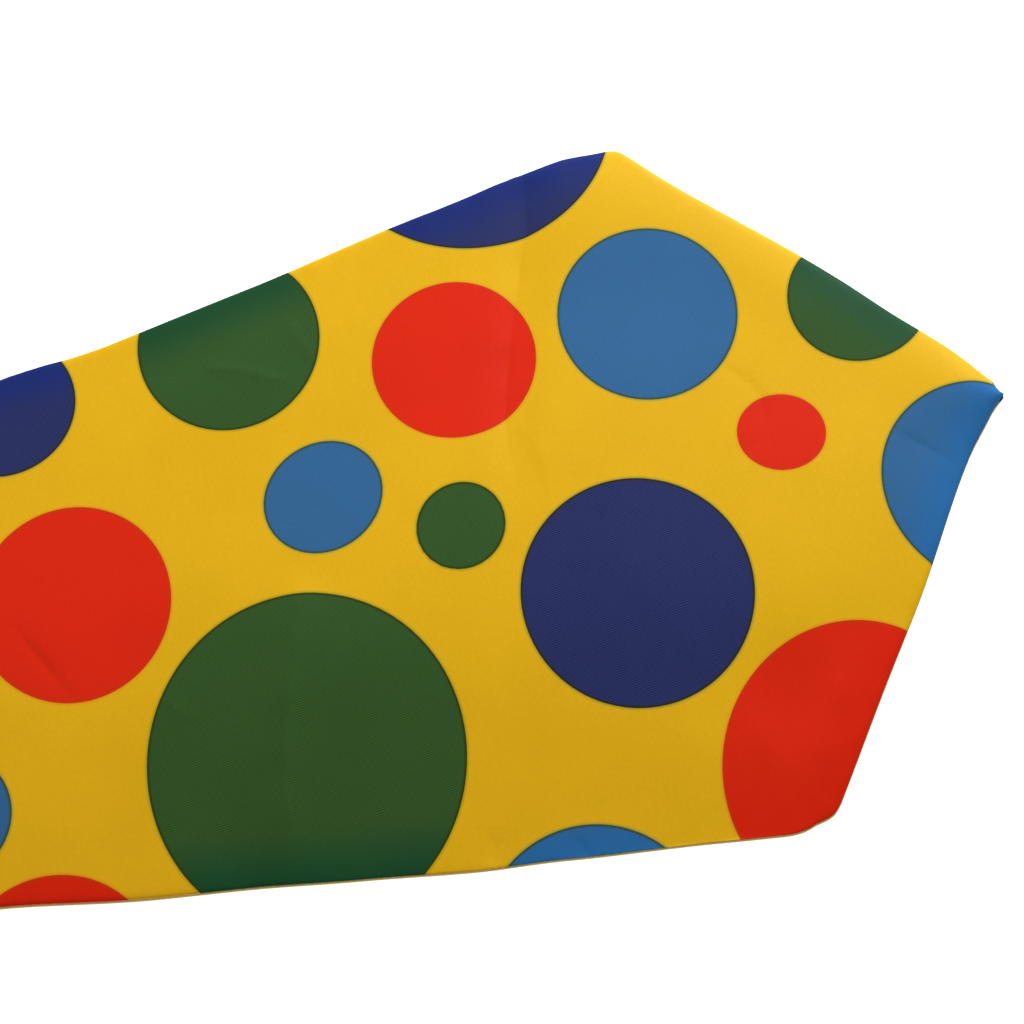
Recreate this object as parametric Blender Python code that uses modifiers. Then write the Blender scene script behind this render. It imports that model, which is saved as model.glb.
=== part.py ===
"""Jumbo clown necktie, laid flat on its back with its front up.

The blade is two panels: a printed front whose edges roll down, and a plain back that lies under it. The top of
the blade is pleated and goes into the knot, a cloth wrap with a flat underside. A flat elastic neck band comes
out of the seam at the knot's top, turns on its edge and lies as an open loop.

Frame: metres, +Z up, the table at z = 0. The tie's length runs along Y, with the point at -Y and the neck loop
at +Y. Distances called "along" are measured from the point towards the knot.
"""

import math

import bmesh
import bpy

# Driving dimensions, in metres.
BLADE_LENGTH = 0.523  # the point to the mouth of the knot
POINT_LENGTH = 0.082  # the point to the line between the two corners
CORNER_HALF_WIDTH = 0.0992  # half the width across the corners, before they are rounded
NECK_HALF_WIDTH = 0.027  # half the blade's width where it goes into the knot
HEAD_LENGTH = 0.045  # the blade's pleated top, inside the knot
KNOT_LENGTH = 0.070
LOOP_REACH = 0.155  # the top of the knot to the far end of the neck loop
LENGTH = BLADE_LENGTH + KNOT_LENGTH + LOOP_REACH
POINT_Y = -LENGTH / 2
MOUTH_Y = POINT_Y + BLADE_LENGTH
KNOT_TOP_Y = MOUTH_Y + KNOT_LENGTH

SEAM_GAP = 0.00035  # between pieces that are sewn together
FRONT_WALL = 0.0011
BACK_WALL = 0.0012
BACK_SHOWS = 0.00035  # how far the back stands out past the front's edge
KNOT_WALL = 0.0016

# The two edges of the blade aren't quite alike. side is the sign of x. bow bends the point's edge outwards, most
# at bow_at along it. round_point and round_side are how far the corner's rounding reaches along each edge.
EDGES = {
    1: {"bow": 0.0026, "bow_at": 0.5, "round_point": 0.006, "round_side": 0.017},
    -1: {"bow": -0.0013, "bow_at": 0.22, "round_point": 0.007, "round_side": 0.009},
}

# How far the sewn edges wave out of their lines: the distance from the point along the edge, and the move outwards.
EDGE_WAVES = {
    1: [
        (0.0, -0.0005),
        (0.006, 0.0007),
        (0.016, 0.0012),
        (0.042, -0.0002),
        (0.104, -0.0021),
        (0.126, -0.0010),
        (0.132, -0.0015),
        (0.143, -0.0004),
        (0.149, -0.0005),
        (0.156, 0.0),
        (0.175, -0.0005),
        (0.187, -0.0004),
        (0.236, -0.0019),
        (0.278, -0.0023),
        (0.302, -0.0002),
        (0.355, -0.0007),
        (0.420, 0.0004),
        (0.500, 0.0),
    ],
    -1: [
        (0.0, 0.0004),
        (0.007, -0.0002),
        (0.020, -0.0008),
        (0.065, 0.0011),
        (0.085, 0.0010),
        (0.120, 0.0013),
        (0.128, -0.0013),
        (0.152, -0.0011),
        (0.190, -0.0003),
        (0.213, 0.0005),
        (0.240, 0.0001),
        (0.266, -0.0003),
        (0.292, 0.0),
        (0.328, -0.0012),
        (0.372, -0.0002),
        (0.430, 0.0005),
        (0.500, 0.0),
    ],
}

# Heights of the front panel's outer face over the underside of the back, on the blade and at the knot's mouth.
RIM_STRIP = 0.0012  # the upright lowest part of the rolled edge
ROLL_WIDTH = (0.0040, 0.008)
ROLL_POWER = (4, 2)  # 2 rolls down as a circle does, and more is squarer
SHOULDER_HEIGHT = (0.0041, 0.0092)
CENTRE_HEIGHT = (0.0064, 0.0105)
GATHER_LENGTH = 0.130  # the stretch below the knot where the blade fills out and its pleats begin
PLEAT_DEPTH = 0.0018  # a dimple in the middle with a ridge and a trough on each side of it
LIFT = KNOT_WALL + SEAM_GAP  # how far the blade rises to enter the knot over the knot's own back
LIFT_LENGTH = 0.040

# Folds left by the packet, a valley and ridges by turns: from and to, as across and along, then height and width.
FOLDS = [
    {"from": (0.094, 0.106), "to": (0.002, 0.134), "height": -0.0006, "width": 0.006},
    {"from": (-0.004, 0.190), "to": (-0.082, 0.215), "height": 0.0006, "width": 0.006},
    {"from": (0.066, 0.292), "to": (-0.058, 0.312), "height": -0.0007, "width": 0.008},
    {"from": (0.050, 0.389), "to": (-0.046, 0.372), "height": 0.0006, "width": 0.008},
]

# Broad swells of the laid cloth: the middle, the half length and half width where they have faded to a third, the
# turn of the length from +X in degrees, and the height.
SWELLS = [
    {"middle": (-0.092, 0.150), "long": 0.150, "short": 0.034, "turn": 81, "height": -0.0012},
    {"middle": (-0.022, 0.200), "long": 0.085, "short": 0.030, "turn": 84, "height": 0.0010},
    {"middle": (-0.035, 0.075), "long": 0.050, "short": 0.026, "turn": 100, "height": 0.0008},
    {"middle": (0.042, 0.140), "long": 0.060, "short": 0.026, "turn": 98, "height": -0.0008},
    {"middle": (0.088, 0.095), "long": 0.045, "short": 0.020, "turn": 50, "height": 0.0009},
    {"middle": (-0.0585, 0.088), "long": 0.024, "short": 0.014, "turn": 64, "height": -0.0008},
    {"middle": (-0.072, 0.067), "long": 0.026, "short": 0.009, "turn": 152, "height": 0.0006},
    {"middle": (0.046, 0.043), "long": 0.055, "short": 0.015, "turn": 40, "height": 0.0012},
    {"middle": (-0.095, 0.100), "long": 0.032, "short": 0.014, "turn": 82, "height": -0.0004},
    {"middle": (0.008, 0.026), "long": 0.030, "short": 0.018, "turn": 20, "height": -0.0006},
    {"middle": (0.026, 0.345), "long": 0.060, "short": 0.026, "turn": 100, "height": 0.0009},
    {"middle": (-0.022, 0.418), "long": 0.050, "short": 0.018, "turn": 80, "height": -0.0006},
]

# The knot's outside: at is the share of its length from the mouth. The top narrows to a sewn lip.
KNOT_SECTIONS = [
    {"at": 0.00, "width": 0.0596, "height": 0.0164, "crown": 0.0012, "shoulder": 0.0075, "heel": 0.0022},
    {"at": 0.18, "width": 0.0632, "height": 0.0202, "crown": 0.0018, "shoulder": 0.0098, "heel": 0.0024},
    {"at": 0.36, "width": 0.0668, "height": 0.0222, "crown": 0.0022, "shoulder": 0.0110, "heel": 0.0026},
    {"at": 0.54, "width": 0.0704, "height": 0.0230, "crown": 0.0022, "shoulder": 0.0115, "heel": 0.0026},
    {"at": 0.70, "width": 0.0736, "height": 0.0220, "crown": 0.0020, "shoulder": 0.0108, "heel": 0.0026},
    {"at": 0.82, "width": 0.0758, "height": 0.0172, "crown": 0.0014, "shoulder": 0.0082, "heel": 0.0026},
    {"at": 0.90, "width": 0.0764, "height": 0.0104, "crown": 0.0006, "shoulder": 0.0048, "heel": 0.0025},
    {"at": 0.955, "width": 0.0758, "height": 0.0058, "crown": 0.0001, "shoulder": 0.0027, "heel": 0.0025},
    {"at": 1.00, "width": 0.0752, "height": 0.0051, "crown": 0.0000, "shoulder": 0.0025, "heel": 0.0025},
]

BAND_WIDTH = 0.010
BAND_THICKNESS = 0.0012
BAND_END_X = 0.022  # the middle of each sewn end
BAND_TUCK = 0.012  # how far each end goes into the knot
BAND_TURN = 0.045  # the length over which the band turns from flat to standing on its edge
LOOP_HALF_WIDTH = 0.0575
LOOP_WIDEST = 0.090  # the knot's top to the loop's widest place

COLOURS = {
    "printed": (0.72, 0.45, 0.02, 1.0),
    "plain": (0.80, 0.68, 0.30, 1.0),
    "elastic": (0.80, 0.80, 0.78, 1.0),
}


def mix(a, b, t):
    return a + (b - a) * t


def ease(t):
    t = min(max(t, 0.0), 1.0)
    return t * t * (3 - 2 * t)


def clear_scene():
    for ob in list(bpy.data.objects):
        bpy.data.objects.remove(ob, do_unlink=True)


def cloth_material(name, colour, roughness):
    material = bpy.data.materials.new(name)
    material.use_nodes = True
    shader = material.node_tree.nodes["Principled BSDF"]
    shader.inputs["Base Color"].default_value = colour
    shader.inputs["Roughness"].default_value = roughness
    shader.inputs["Metallic"].default_value = 0.0
    return material


def new_piece(name, bm, collection, material):
    """Makes a named object of a bmesh, with its faces smooth."""
    mesh = bpy.data.meshes.new(name)
    bm.to_mesh(mesh)
    bm.free()
    mesh.shade_smooth()
    mesh.materials.append(material)
    piece = bpy.data.objects.new(name, mesh)
    collection.objects.link(piece)
    return piece


def add_wall(piece, thickness):
    wall = piece.modifiers.new("Wall", "SOLIDIFY")
    wall.thickness = thickness
    wall.offset = -1.0
    wall.use_even_offset = True
    wall.use_quality_normals = True
    return wall


# The blade's outline. Points are (across, along).


def corner(side):
    return (side * CORNER_HALF_WIDTH, POINT_LENGTH)


def edge_end(side):
    return (side * NECK_HALF_WIDTH, BLADE_LENGTH)


def unit(a, b):
    dx, dy = b[0] - a[0], b[1] - a[1]
    size = math.hypot(dx, dy)
    return dx / size, dy / size


def point_edge(side, share):
    """A place on the edge from the point to the corner, which bows a little."""
    edge = EDGES[side]
    tip, end = (0.0, 0.0), corner(side)
    dx, dy = unit(tip, end)
    bow = edge["bow"] * math.sin(math.pi * share ** (math.log(0.5) / math.log(edge["bow_at"])))
    return end[0] * share + side * dy * bow, end[1] * share - side * dx * bow


def corner_round(side, share):
    """A place on the rounded corner, a curve from one edge to the other."""
    edge = EDGES[side]
    top = corner(side)
    length = math.hypot(*top)
    start = point_edge(side, 1 - edge["round_point"] / length)
    dx, dy = unit(top, edge_end(side))
    end = (top[0] + dx * edge["round_side"], top[1] + dy * edge["round_side"])
    parts = ((1 - share) ** 2, 2 * share * (1 - share), share**2)
    return tuple(sum(p * q[i] for p, q in zip(parts, (start, top, end))) for i in (0, 1))


def side_edge(side, share):
    """A place on the long edge, from the rounded corner to the knot's mouth."""
    start = corner_round(side, 1.0)
    end = edge_end(side)
    return mix(start[0], end[0], share), mix(start[1], end[1], share)


POINT_ROWS = 14
CORNER_ROWS = 6
SIDE_ROWS = 38
HEAD_ROWS = 4


def wave(side, travelled):
    """How far the edge waves outwards this far from the point, flat at each row of the table."""
    rows = EDGE_WAVES[side]
    for (start, low), (end, high) in zip(rows, rows[1:]):
        if travelled < end:
            return mix(low, high, ease((travelled - start) / (end - start)))
    return rows[-1][1]


def outset(points, side, distances):
    """An edge moved outwards, each point by its own distance, or by less where the blade is narrower than that."""
    moved = []
    for i, here in enumerate(points):
        before, after = points[max(i - 1, 0)], points[min(i + 1, len(points) - 1)]
        dx, dy = unit(before, after)
        reach = max(min(distances[i], abs(here[0]) / 2), -abs(here[0]) / 2)
        moved.append((here[0] + side * dy * reach, here[1] - side * dx * reach))
    return moved


def outline(side):
    """The edge from just above the point to the end of the head, with the same rows on both sides."""
    length = math.hypot(*corner(side))
    last = 1 - EDGES[side]["round_point"] / length
    points = [point_edge(side, last * (i + 1) / POINT_ROWS) for i in range(POINT_ROWS)]
    points += [corner_round(side, (i + 1) / CORNER_ROWS) for i in range(CORNER_ROWS)]
    points += [side_edge(side, (i + 1) / SIDE_ROWS) for i in range(SIDE_ROWS)]
    head = [BLADE_LENGTH + HEAD_LENGTH * (i + 1) / HEAD_ROWS for i in range(HEAD_ROWS)]
    points += [(side * NECK_HALF_WIDTH, along) for along in head]
    waves = []
    travelled = 0.0
    for before, here in zip([(0.0, 0.0), *points], points):
        travelled += math.dist(before, here)
        waves.append(wave(side, travelled))
    return outset(points, side, waves)


def spine(along):
    """Where a row that starts on the edge at this place meets the middle line."""
    lead = 0.0366
    if along < POINT_LENGTH:
        return along * (1 + lead / POINT_LENGTH)
    rest = (along - POINT_LENGTH) / (BLADE_LENGTH - POINT_LENGTH)
    return along + lead * max(1 - rest, 0.0)


def edge_distance(place, edges):
    """How far a place lies from the edges of the blade.

    Near both edges it is a little less than the way to the nearer one, so that their rolls join softly.
    """
    total = 0.0
    for points in edges:
        nearest = math.inf
        for a, b in zip(points, points[1:]):
            dx, dy = b[0] - a[0], b[1] - a[1]
            share = ((place[0] - a[0]) * dx + (place[1] - a[1]) * dy) / (dx * dx + dy * dy)
            share = min(max(share, 0.0), 1.0)
            nearest = min(nearest, math.hypot(place[0] - a[0] - dx * share, place[1] - a[1] - dy * share))
        total += max(nearest, 1e-6) ** -4
    return total**-0.25


def half_width(along):
    if along < POINT_LENGTH:
        return CORNER_HALF_WIDTH * along / POINT_LENGTH
    rest = min((along - POINT_LENGTH) / (BLADE_LENGTH - POINT_LENGTH), 1.0)
    return mix(CORNER_HALF_WIDTH, NECK_HALF_WIDTH, rest)


def gathered(along):
    """0 on the blade, 1 from the knot's mouth on."""
    return ease((along - (BLADE_LENGTH - GATHER_LENGTH)) / GATHER_LENGTH)


def lift(along):
    return LIFT * ease((along - (BLADE_LENGTH - LIFT_LENGTH)) / LIFT_LENGTH)


def fold_height(place):
    """The packing folds' and swells' share of the height."""
    total = 0.0
    for fold in FOLDS:
        (x1, y1), (x2, y2) = fold["from"], fold["to"]
        dx, dy = x2 - x1, y2 - y1
        length = math.hypot(dx, dy)
        share = ((place[0] - x1) * dx + (place[1] - y1) * dy) / length**2
        off = ((place[0] - x1) * dy - (place[1] - y1) * dx) / length
        fade = ease((share + 0.05) / 0.15) * ease((1.1 - share) / 0.3)
        total += fold["height"] * fade * math.exp(-((off / fold["width"]) ** 2))
    for swell in SWELLS:
        turn = math.radians(swell["turn"])
        dx, dy = place[0] - swell["middle"][0], place[1] - swell["middle"][1]
        u = (dx * math.cos(turn) + dy * math.sin(turn)) / swell["long"]
        w = (dy * math.cos(turn) - dx * math.sin(turn)) / swell["short"]
        total += swell["height"] * math.exp(-u * u - w * w)
    return total


def front_height(place, edges):
    """The height of the front's outer face over the table."""
    across, along = place
    distance = edge_distance(place, edges)
    pulled = gathered(along)
    roll_share = min(distance / mix(*ROLL_WIDTH, pulled), 1.0)
    power = mix(*ROLL_POWER, pulled)
    roll = (1 - (1 - roll_share) ** power) ** (1 / power)
    middle_share = min(distance / max(half_width(along), 0.01), 1.0)
    crown = 1 - (1 - middle_share) ** 2
    foot = BACK_WALL + SEAM_GAP + RIM_STRIP
    shoulder = mix(*SHOULDER_HEIGHT, pulled)
    centre = mix(*CENTRE_HEIGHT, pulled)
    turn = across / half_width(along)
    pleats = -math.cos(3 * math.pi * turn) * max(1 - turn * turn, 0.0) * PLEAT_DEPTH * pulled
    height = foot + (shoulder - foot) * roll + (centre - shoulder) * crown
    return height + lift(along) + pleats + fold_height(place) * roll


# Shares of a row from the edge to the middle line, closer together where the edge rolls down.
COLUMNS = (0.0, 0.010, 0.030, 0.060, 0.105, 0.18, 0.29, 0.42, 0.56, 0.70, 0.85)


def blade_front(collection, material):
    """The printed front panel: rows from edge to edge, with an upright strip at both rims."""
    sides = {side: outline(side) for side in (-1, 1)}
    edges = [[(0.0, 0.0), *sides[side]] for side in (-1, 1)]
    rim = BACK_WALL + SEAM_GAP
    bm = bmesh.new()
    rows = []
    for left, right in zip(sides[-1], sides[1]):
        middle = (0.0, spine((left[1] + right[1]) / 2))
        places = [(mix(left[0], 0.0, c), mix(left[1], middle[1], c)) for c in COLUMNS]
        places.append(middle)
        places += [(mix(right[0], 0.0, c), mix(right[1], middle[1], c)) for c in reversed(COLUMNS)]
        heights = [front_height(place, edges) for place in places]
        points = [(left[0], left[1], rim + lift(left[1]))]
        points += [(x, y, z) for (x, y), z in zip(places, heights)]
        points.append((right[0], right[1], rim + lift(right[1])))
        rows.append([bm.verts.new((x, POINT_Y + y, z)) for x, y, z in points])
    for below, above in zip(rows, rows[1:]):
        for i in range(len(below) - 1):
            bm.faces.new((below[i], below[i + 1], above[i + 1], above[i]))
    foot = bm.verts.new((0.0, POINT_Y, rim))
    tip = bm.verts.new((0.0, POINT_Y, rim + RIM_STRIP))
    first = rows[0]
    bm.faces.new((foot, tip, first[1], first[0]))
    bm.faces.new((tip, foot, first[-1], first[-2]))
    for i in range(1, len(first) - 2):
        bm.faces.new((tip, first[i + 1], first[i]))
    piece = new_piece("blade_front", bm, collection, material)
    add_wall(piece, FRONT_WALL)
    return piece


def blade_back(collection, material):
    """The plain back panel, flat on the table, its edge showing a little past the front's."""
    sides = {side: outline(side) for side in (-1, 1)}
    sides = {side: outset(points, side, [BACK_SHOWS] * len(points)) for side, points in sides.items()}
    bm = bmesh.new()
    rows = []
    for left, right in zip(sides[-1], sides[1]):
        middle = (0.0, spine((left[1] + right[1]) / 2))
        places = [left, (left[0] / 2, (left[1] + middle[1]) / 2), middle]
        places += [(right[0] / 2, (right[1] + middle[1]) / 2), right]
        rows.append([bm.verts.new((x, POINT_Y + y, BACK_WALL + lift(y))) for x, y in places])
    for below, above in zip(rows, rows[1:]):
        for i in range(len(below) - 1):
            bm.faces.new((below[i], below[i + 1], above[i + 1], above[i]))
    tip = bm.verts.new((0.0, POINT_Y - BACK_SHOWS, BACK_WALL))
    for i in range(len(rows[0]) - 1):
        bm.faces.new((tip, rows[0][i + 1], rows[0][i]))
    piece = new_piece("blade_back", bm, collection, material)
    add_wall(piece, BACK_WALL)
    return piece


# The knot.

KNOT_ROWS = 22
HEEL_STEPS = 3
SHOULDER_STEPS = 6
TOP_STEPS = 5
FLOOR_STEPS = 4


def knot_section(at):
    """The knot's sizes at a share of its length: a smooth curve through the rows of its table."""
    last = len(KNOT_SECTIONS) - 1
    k = 0
    while k < last - 1 and KNOT_SECTIONS[k + 1]["at"] < at:
        k += 1
    low, high = KNOT_SECTIONS[k], KNOT_SECTIONS[k + 1]
    before, after = KNOT_SECTIONS[max(k - 1, 0)], KNOT_SECTIONS[min(k + 2, last)]
    step = high["at"] - low["at"]
    t = (at - low["at"]) / step
    sizes = {}
    for key in low:
        leaving = (high[key] - before[key]) / (high["at"] - before["at"]) * step
        arriving = (after[key] - low[key]) / (after["at"] - low["at"]) * step
        rise = high[key] - low[key]
        sizes[key] = low[key] + t * (
            leaving + t * (3 * rise - 2 * leaving - arriving + t * (leaving + arriving - 2 * rise))
        )
    return sizes


def knot_half_ring(size):
    """Half of the knot's outer section, from the middle of its floor round to the middle of its top."""
    half, high = size["width"] / 2, size["height"]
    heel, shoulder, crown = size["heel"], size["shoulder"], size["crown"]
    ring = [((half - heel) * i / FLOOR_STEPS, 0.0) for i in range(FLOOR_STEPS)]
    for i in range(HEEL_STEPS + 1):
        turn = math.pi / 2 * i / HEEL_STEPS
        ring.append((half - heel + heel * math.sin(turn), heel - heel * math.cos(turn)))
    edge = high - crown
    # The shoulder starts where the heel ends if there is no room for an upright side between them.
    rise = min(shoulder, edge - heel)
    for i in range(1, SHOULDER_STEPS + 1):
        turn = math.pi / 2 * i / SHOULDER_STEPS
        ring.append((half - shoulder + shoulder * math.cos(turn), edge - rise + rise * math.sin(turn)))
    for i in range(1, TOP_STEPS + 1):
        across = (half - shoulder) * (1 - i / TOP_STEPS)
        ring.append((across, high - crown * (across / (half - shoulder)) ** 2))
    return ring


def knot(collection, material):
    """The cloth wrap of the knot: a wall with an open mouth for the blade and a slit for the band at its top."""
    bm = bmesh.new()
    rings = []
    for row in range(KNOT_ROWS + 1):
        at = row / KNOT_ROWS
        right = knot_half_ring(knot_section(at))
        ring = right + [(-x, z) for x, z in reversed(right[1:-1])]
        y = MOUTH_Y + KNOT_LENGTH * at
        rings.append([bm.verts.new((x, y, z)) for x, z in ring])
    for near, far in zip(rings, rings[1:]):
        for i in range(len(near)):
            j = (i + 1) % len(near)
            bm.faces.new((near[i], near[j], far[j], far[i]))
    bmesh.ops.recalc_face_normals(bm, faces=bm.faces)
    piece = new_piece("knot", bm, collection, material)
    add_wall(piece, KNOT_WALL)
    return piece


# The neck band.

BAND_STEPS = 88


def bezier(points, t):
    parts = ((1 - t) ** 3, 3 * t * (1 - t) ** 2, 3 * t * t * (1 - t), t**3)
    return tuple(sum(p * q[i] for p, q in zip(parts, points)) for i in (0, 1))


def band_route():
    """The band's middle line from its right end to its left end, seen from above."""
    start = (BAND_END_X, KNOT_TOP_Y)
    widest = (LOOP_HALF_WIDTH, KNOT_TOP_Y + LOOP_WIDEST)
    far = (0.0, KNOT_TOP_Y + LOOP_REACH - BAND_THICKNESS / 2)
    up = [start, (start[0], start[1] + 0.034), (widest[0], widest[1] - 0.040), widest]
    over = [widest, (widest[0], widest[1] + 0.036), (0.032, far[1]), far]
    half = [(BAND_END_X, KNOT_TOP_Y - BAND_TUCK), (BAND_END_X, KNOT_TOP_Y - BAND_TUCK / 2)]
    fine = 60
    half += [bezier(up, i / fine) for i in range(fine)]
    half += [bezier(over, i / fine) for i in range(fine + 1)]
    return half + [(-x, y) for x, y in reversed(half[:-1])]


def evenly(points, steps):
    """Places at equal steps along a route, each with its distance from the start."""
    lengths = [0.0]
    for a, b in zip(points, points[1:]):
        lengths.append(lengths[-1] + math.dist(a, b))
    places = []
    k = 0
    for step in range(steps + 1):
        want = lengths[-1] * step / steps
        while k < len(points) - 2 and lengths[k + 1] < want:
            k += 1
        share = (want - lengths[k]) / (lengths[k + 1] - lengths[k])
        a, b = points[k], points[k + 1]
        places.append((mix(a[0], b[0], share), mix(a[1], b[1], share), want))
    return places, lengths[-1]


def neck_band(collection, material):
    """The flat elastic: it leaves the knot flat, turns on its edge and stands on the table as a loop."""
    places, length = evenly(band_route(), BAND_STEPS)
    bm = bmesh.new()
    rings = []
    for i, (x, y, distance) in enumerate(places):
        before, after = places[max(i - 1, 0)], places[min(i + 1, BAND_STEPS)]
        dx, dy = unit(before[:2], after[:2])
        sewn = min(distance, length - distance) - BAND_TUCK
        turn = math.pi / 2 * ease(sewn / BAND_TURN)
        foot = (KNOT_WALL + SEAM_GAP) * (1 - ease(sewn / (BAND_TURN / 2)))
        reach = BAND_WIDTH / 2 * math.sin(turn) + BAND_THICKNESS / 2 * math.cos(turn)
        wide = (dy * math.cos(turn), -dx * math.cos(turn), math.sin(turn))
        thin = (-dy * math.sin(turn), dx * math.sin(turn), math.cos(turn))
        ring = []
        for a, b in ((-1, -1), (1, -1), (1, 1), (-1, 1)):
            w, t = a * BAND_WIDTH / 2, b * BAND_THICKNESS / 2
            spot = (x + wide[0] * w + thin[0] * t, y + wide[1] * w + thin[1] * t)
            ring.append(bm.verts.new((*spot, foot + reach + wide[2] * w + thin[2] * t)))
        rings.append(ring)
    for near, far in zip(rings, rings[1:]):
        for i in range(4):
            j = (i + 1) % 4
            bm.faces.new((near[i], near[j], far[j], far[i]))
    bm.faces.new(rings[0])
    bm.faces.new(list(reversed(rings[-1])))
    bmesh.ops.recalc_face_normals(bm, faces=bm.faces)
    return new_piece("neck_band", bm, collection, material)


def build():
    clear_scene()
    tie = bpy.data.collections.new("clown_necktie")
    bpy.context.scene.collection.children.link(tie)
    printed = cloth_material("printed_twill", COLOURS["printed"], 0.55)
    plain = cloth_material("plain_back_cloth", COLOURS["plain"], 0.65)
    elastic = cloth_material("white_elastic", COLOURS["elastic"], 0.75)
    blade_front(tie, printed)
    blade_back(tie, plain)
    knot(tie, printed)
    neck_band(tie, elastic)


build()
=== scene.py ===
"""The looks of a jumbo clown necktie that lies flat on its back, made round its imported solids.

The blade is a kite of printed polyester twill over a plain back panel, sewn and turned at the edges. Its
pleated top goes into a cloth knot. White braided elastic comes out of the knot's sewn lip as the neck loop.

Frame: metres, +Z up, the table at z = 0. The tie's point is at -Y and its neck loop at +Y. "across" is x, and
"along" is the distance from the point towards the knot.
"""

import math
from collections import namedtuple

import bmesh
import bpy
import numpy as np
from mathutils import Matrix, Vector


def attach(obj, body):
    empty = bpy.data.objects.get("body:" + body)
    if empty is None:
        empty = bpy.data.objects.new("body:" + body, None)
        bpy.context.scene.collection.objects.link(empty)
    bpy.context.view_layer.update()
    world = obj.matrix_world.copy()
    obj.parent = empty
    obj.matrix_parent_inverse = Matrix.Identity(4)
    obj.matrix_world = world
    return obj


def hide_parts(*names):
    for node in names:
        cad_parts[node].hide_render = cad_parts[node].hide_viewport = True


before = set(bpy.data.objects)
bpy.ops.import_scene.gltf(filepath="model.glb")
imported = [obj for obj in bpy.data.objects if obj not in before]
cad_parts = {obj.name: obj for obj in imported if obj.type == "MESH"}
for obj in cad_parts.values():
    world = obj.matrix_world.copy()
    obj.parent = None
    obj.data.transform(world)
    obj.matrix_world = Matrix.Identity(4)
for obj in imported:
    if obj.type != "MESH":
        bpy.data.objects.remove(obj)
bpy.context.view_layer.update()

# Driving dimensions, in metres, the same as the solids'.
BLADE_LENGTH = 0.523  # the point to the mouth of the knot
POINT_LENGTH = 0.082  # the point to the line between the two corners
CORNER_HALF_WIDTH = 0.0992
NECK_HALF_WIDTH = 0.027
HEAD_LENGTH = 0.045  # the blade's pleated top, inside the knot
KNOT_LENGTH = 0.070
LOOP_REACH = 0.155  # the top of the knot to the far end of the neck loop
LENGTH = BLADE_LENGTH + KNOT_LENGTH + LOOP_REACH
POINT_Y = -LENGTH / 2
MOUTH_Y = POINT_Y + BLADE_LENGTH
KNOT_TOP_Y = MOUTH_Y + KNOT_LENGTH

SEAM_GAP = 0.00035
BACK_WALL = 0.0012
BACK_SHOWS = 0.00035  # how far the back stands out past the front's edge
KNOT_WALL = 0.0016
CLOTH = 0.0004  # the cloths' real thickness

BAND_WIDTH = 0.010
BAND_THICKNESS = 0.0012
BAND_END_X = 0.022  # the middle of each sewn end
BAND_TUCK = 0.012  # how far each end goes into the knot
BAND_TURN = 0.045  # the length over which it turns from flat to standing on its edge
LOOP_HALF_WIDTH = 0.0575
LOOP_WIDEST = 0.090  # the knot's top to the loop's widest place

# The two edges of the blade aren't quite alike. side is the sign of x. bow bends the point's edge outwards,
# most at bow_at along it. round_point and round_side are how far the corner's rounding reaches along each
# edge.
EDGES = {
    1: {"bow": 0.0026, "bow_at": 0.5, "round_point": 0.006, "round_side": 0.017},
    -1: {"bow": -0.0013, "bow_at": 0.22, "round_point": 0.007, "round_side": 0.009},
}

# How far the sewn edges wave out of their lines: the distance from the point along the edge, and the move
# outwards.
EDGE_WAVES = {
    1: [
        (0.0, -0.0005), (0.006, 0.0007), (0.016, 0.0012), (0.042, -0.0002), (0.104, -0.0021),
        (0.126, -0.0010), (0.132, -0.0015), (0.143, -0.0004), (0.149, -0.0005), (0.156, 0.0),
        (0.175, -0.0005), (0.187, -0.0004), (0.236, -0.0019), (0.278, -0.0023), (0.302, -0.0002),
        (0.355, -0.0007), (0.420, 0.0004), (0.500, 0.0),
    ],
    -1: [
        (0.0, 0.0004), (0.007, -0.0002), (0.020, -0.0008), (0.065, 0.0011), (0.085, 0.0010),
        (0.120, 0.0013), (0.128, -0.0013), (0.152, -0.0011), (0.190, -0.0003), (0.213, 0.0005),
        (0.240, 0.0001), (0.266, -0.0003), (0.292, 0.0), (0.328, -0.0012), (0.372, -0.0002),
        (0.430, 0.0005), (0.500, 0.0),
    ],
}

# Heights of the front's outer face over the table, on the blade and at the knot's mouth.
RIM_STRIP = 0.0012  # how much of the edge stands upright
FOOT = BACK_WALL + SEAM_GAP + RIM_STRIP  # the front's height at its very edge
ROLL_WIDTH = (0.0040, 0.008)
ROLL_POWER = (4, 2)  # 2 rolls down as a circle does, and more is squarer
SHOULDER_HEIGHT = (0.0041, 0.0092)
CENTRE_HEIGHT = (0.0064, 0.0105)
GATHER_LENGTH = 0.130
PLEAT_DEPTH = 0.0018
LIFT = KNOT_WALL + SEAM_GAP  # how far the knot's floor lifts the blade off the table
LIFT_LENGTH = 0.040
PUCKER_DEPTH = 0.00009
PUCKER_REACH = 0.0042  # how far the puckers run in from the edges
PUCKER_PITCH = 0.0019  # 2 pi of it from one pucker to the next
SPINE_LEAD = 0.0366  # how far the middle of the row between the corners is ahead of its ends

# Folds left by the packet, valleys and ridges by turns, each from its start to its end as (across, along).
Fold = namedtuple("Fold", "start end height width")
FOLDS = [
    Fold((0.094, 0.106), (0.002, 0.134), -0.0006, 0.006),
    Fold((-0.004, 0.190), (-0.082, 0.215), 0.0006, 0.006),
    Fold((0.066, 0.292), (-0.058, 0.312), -0.0007, 0.008),
    Fold((0.050, 0.389), (-0.046, 0.372), 0.0006, 0.008),
]

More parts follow.
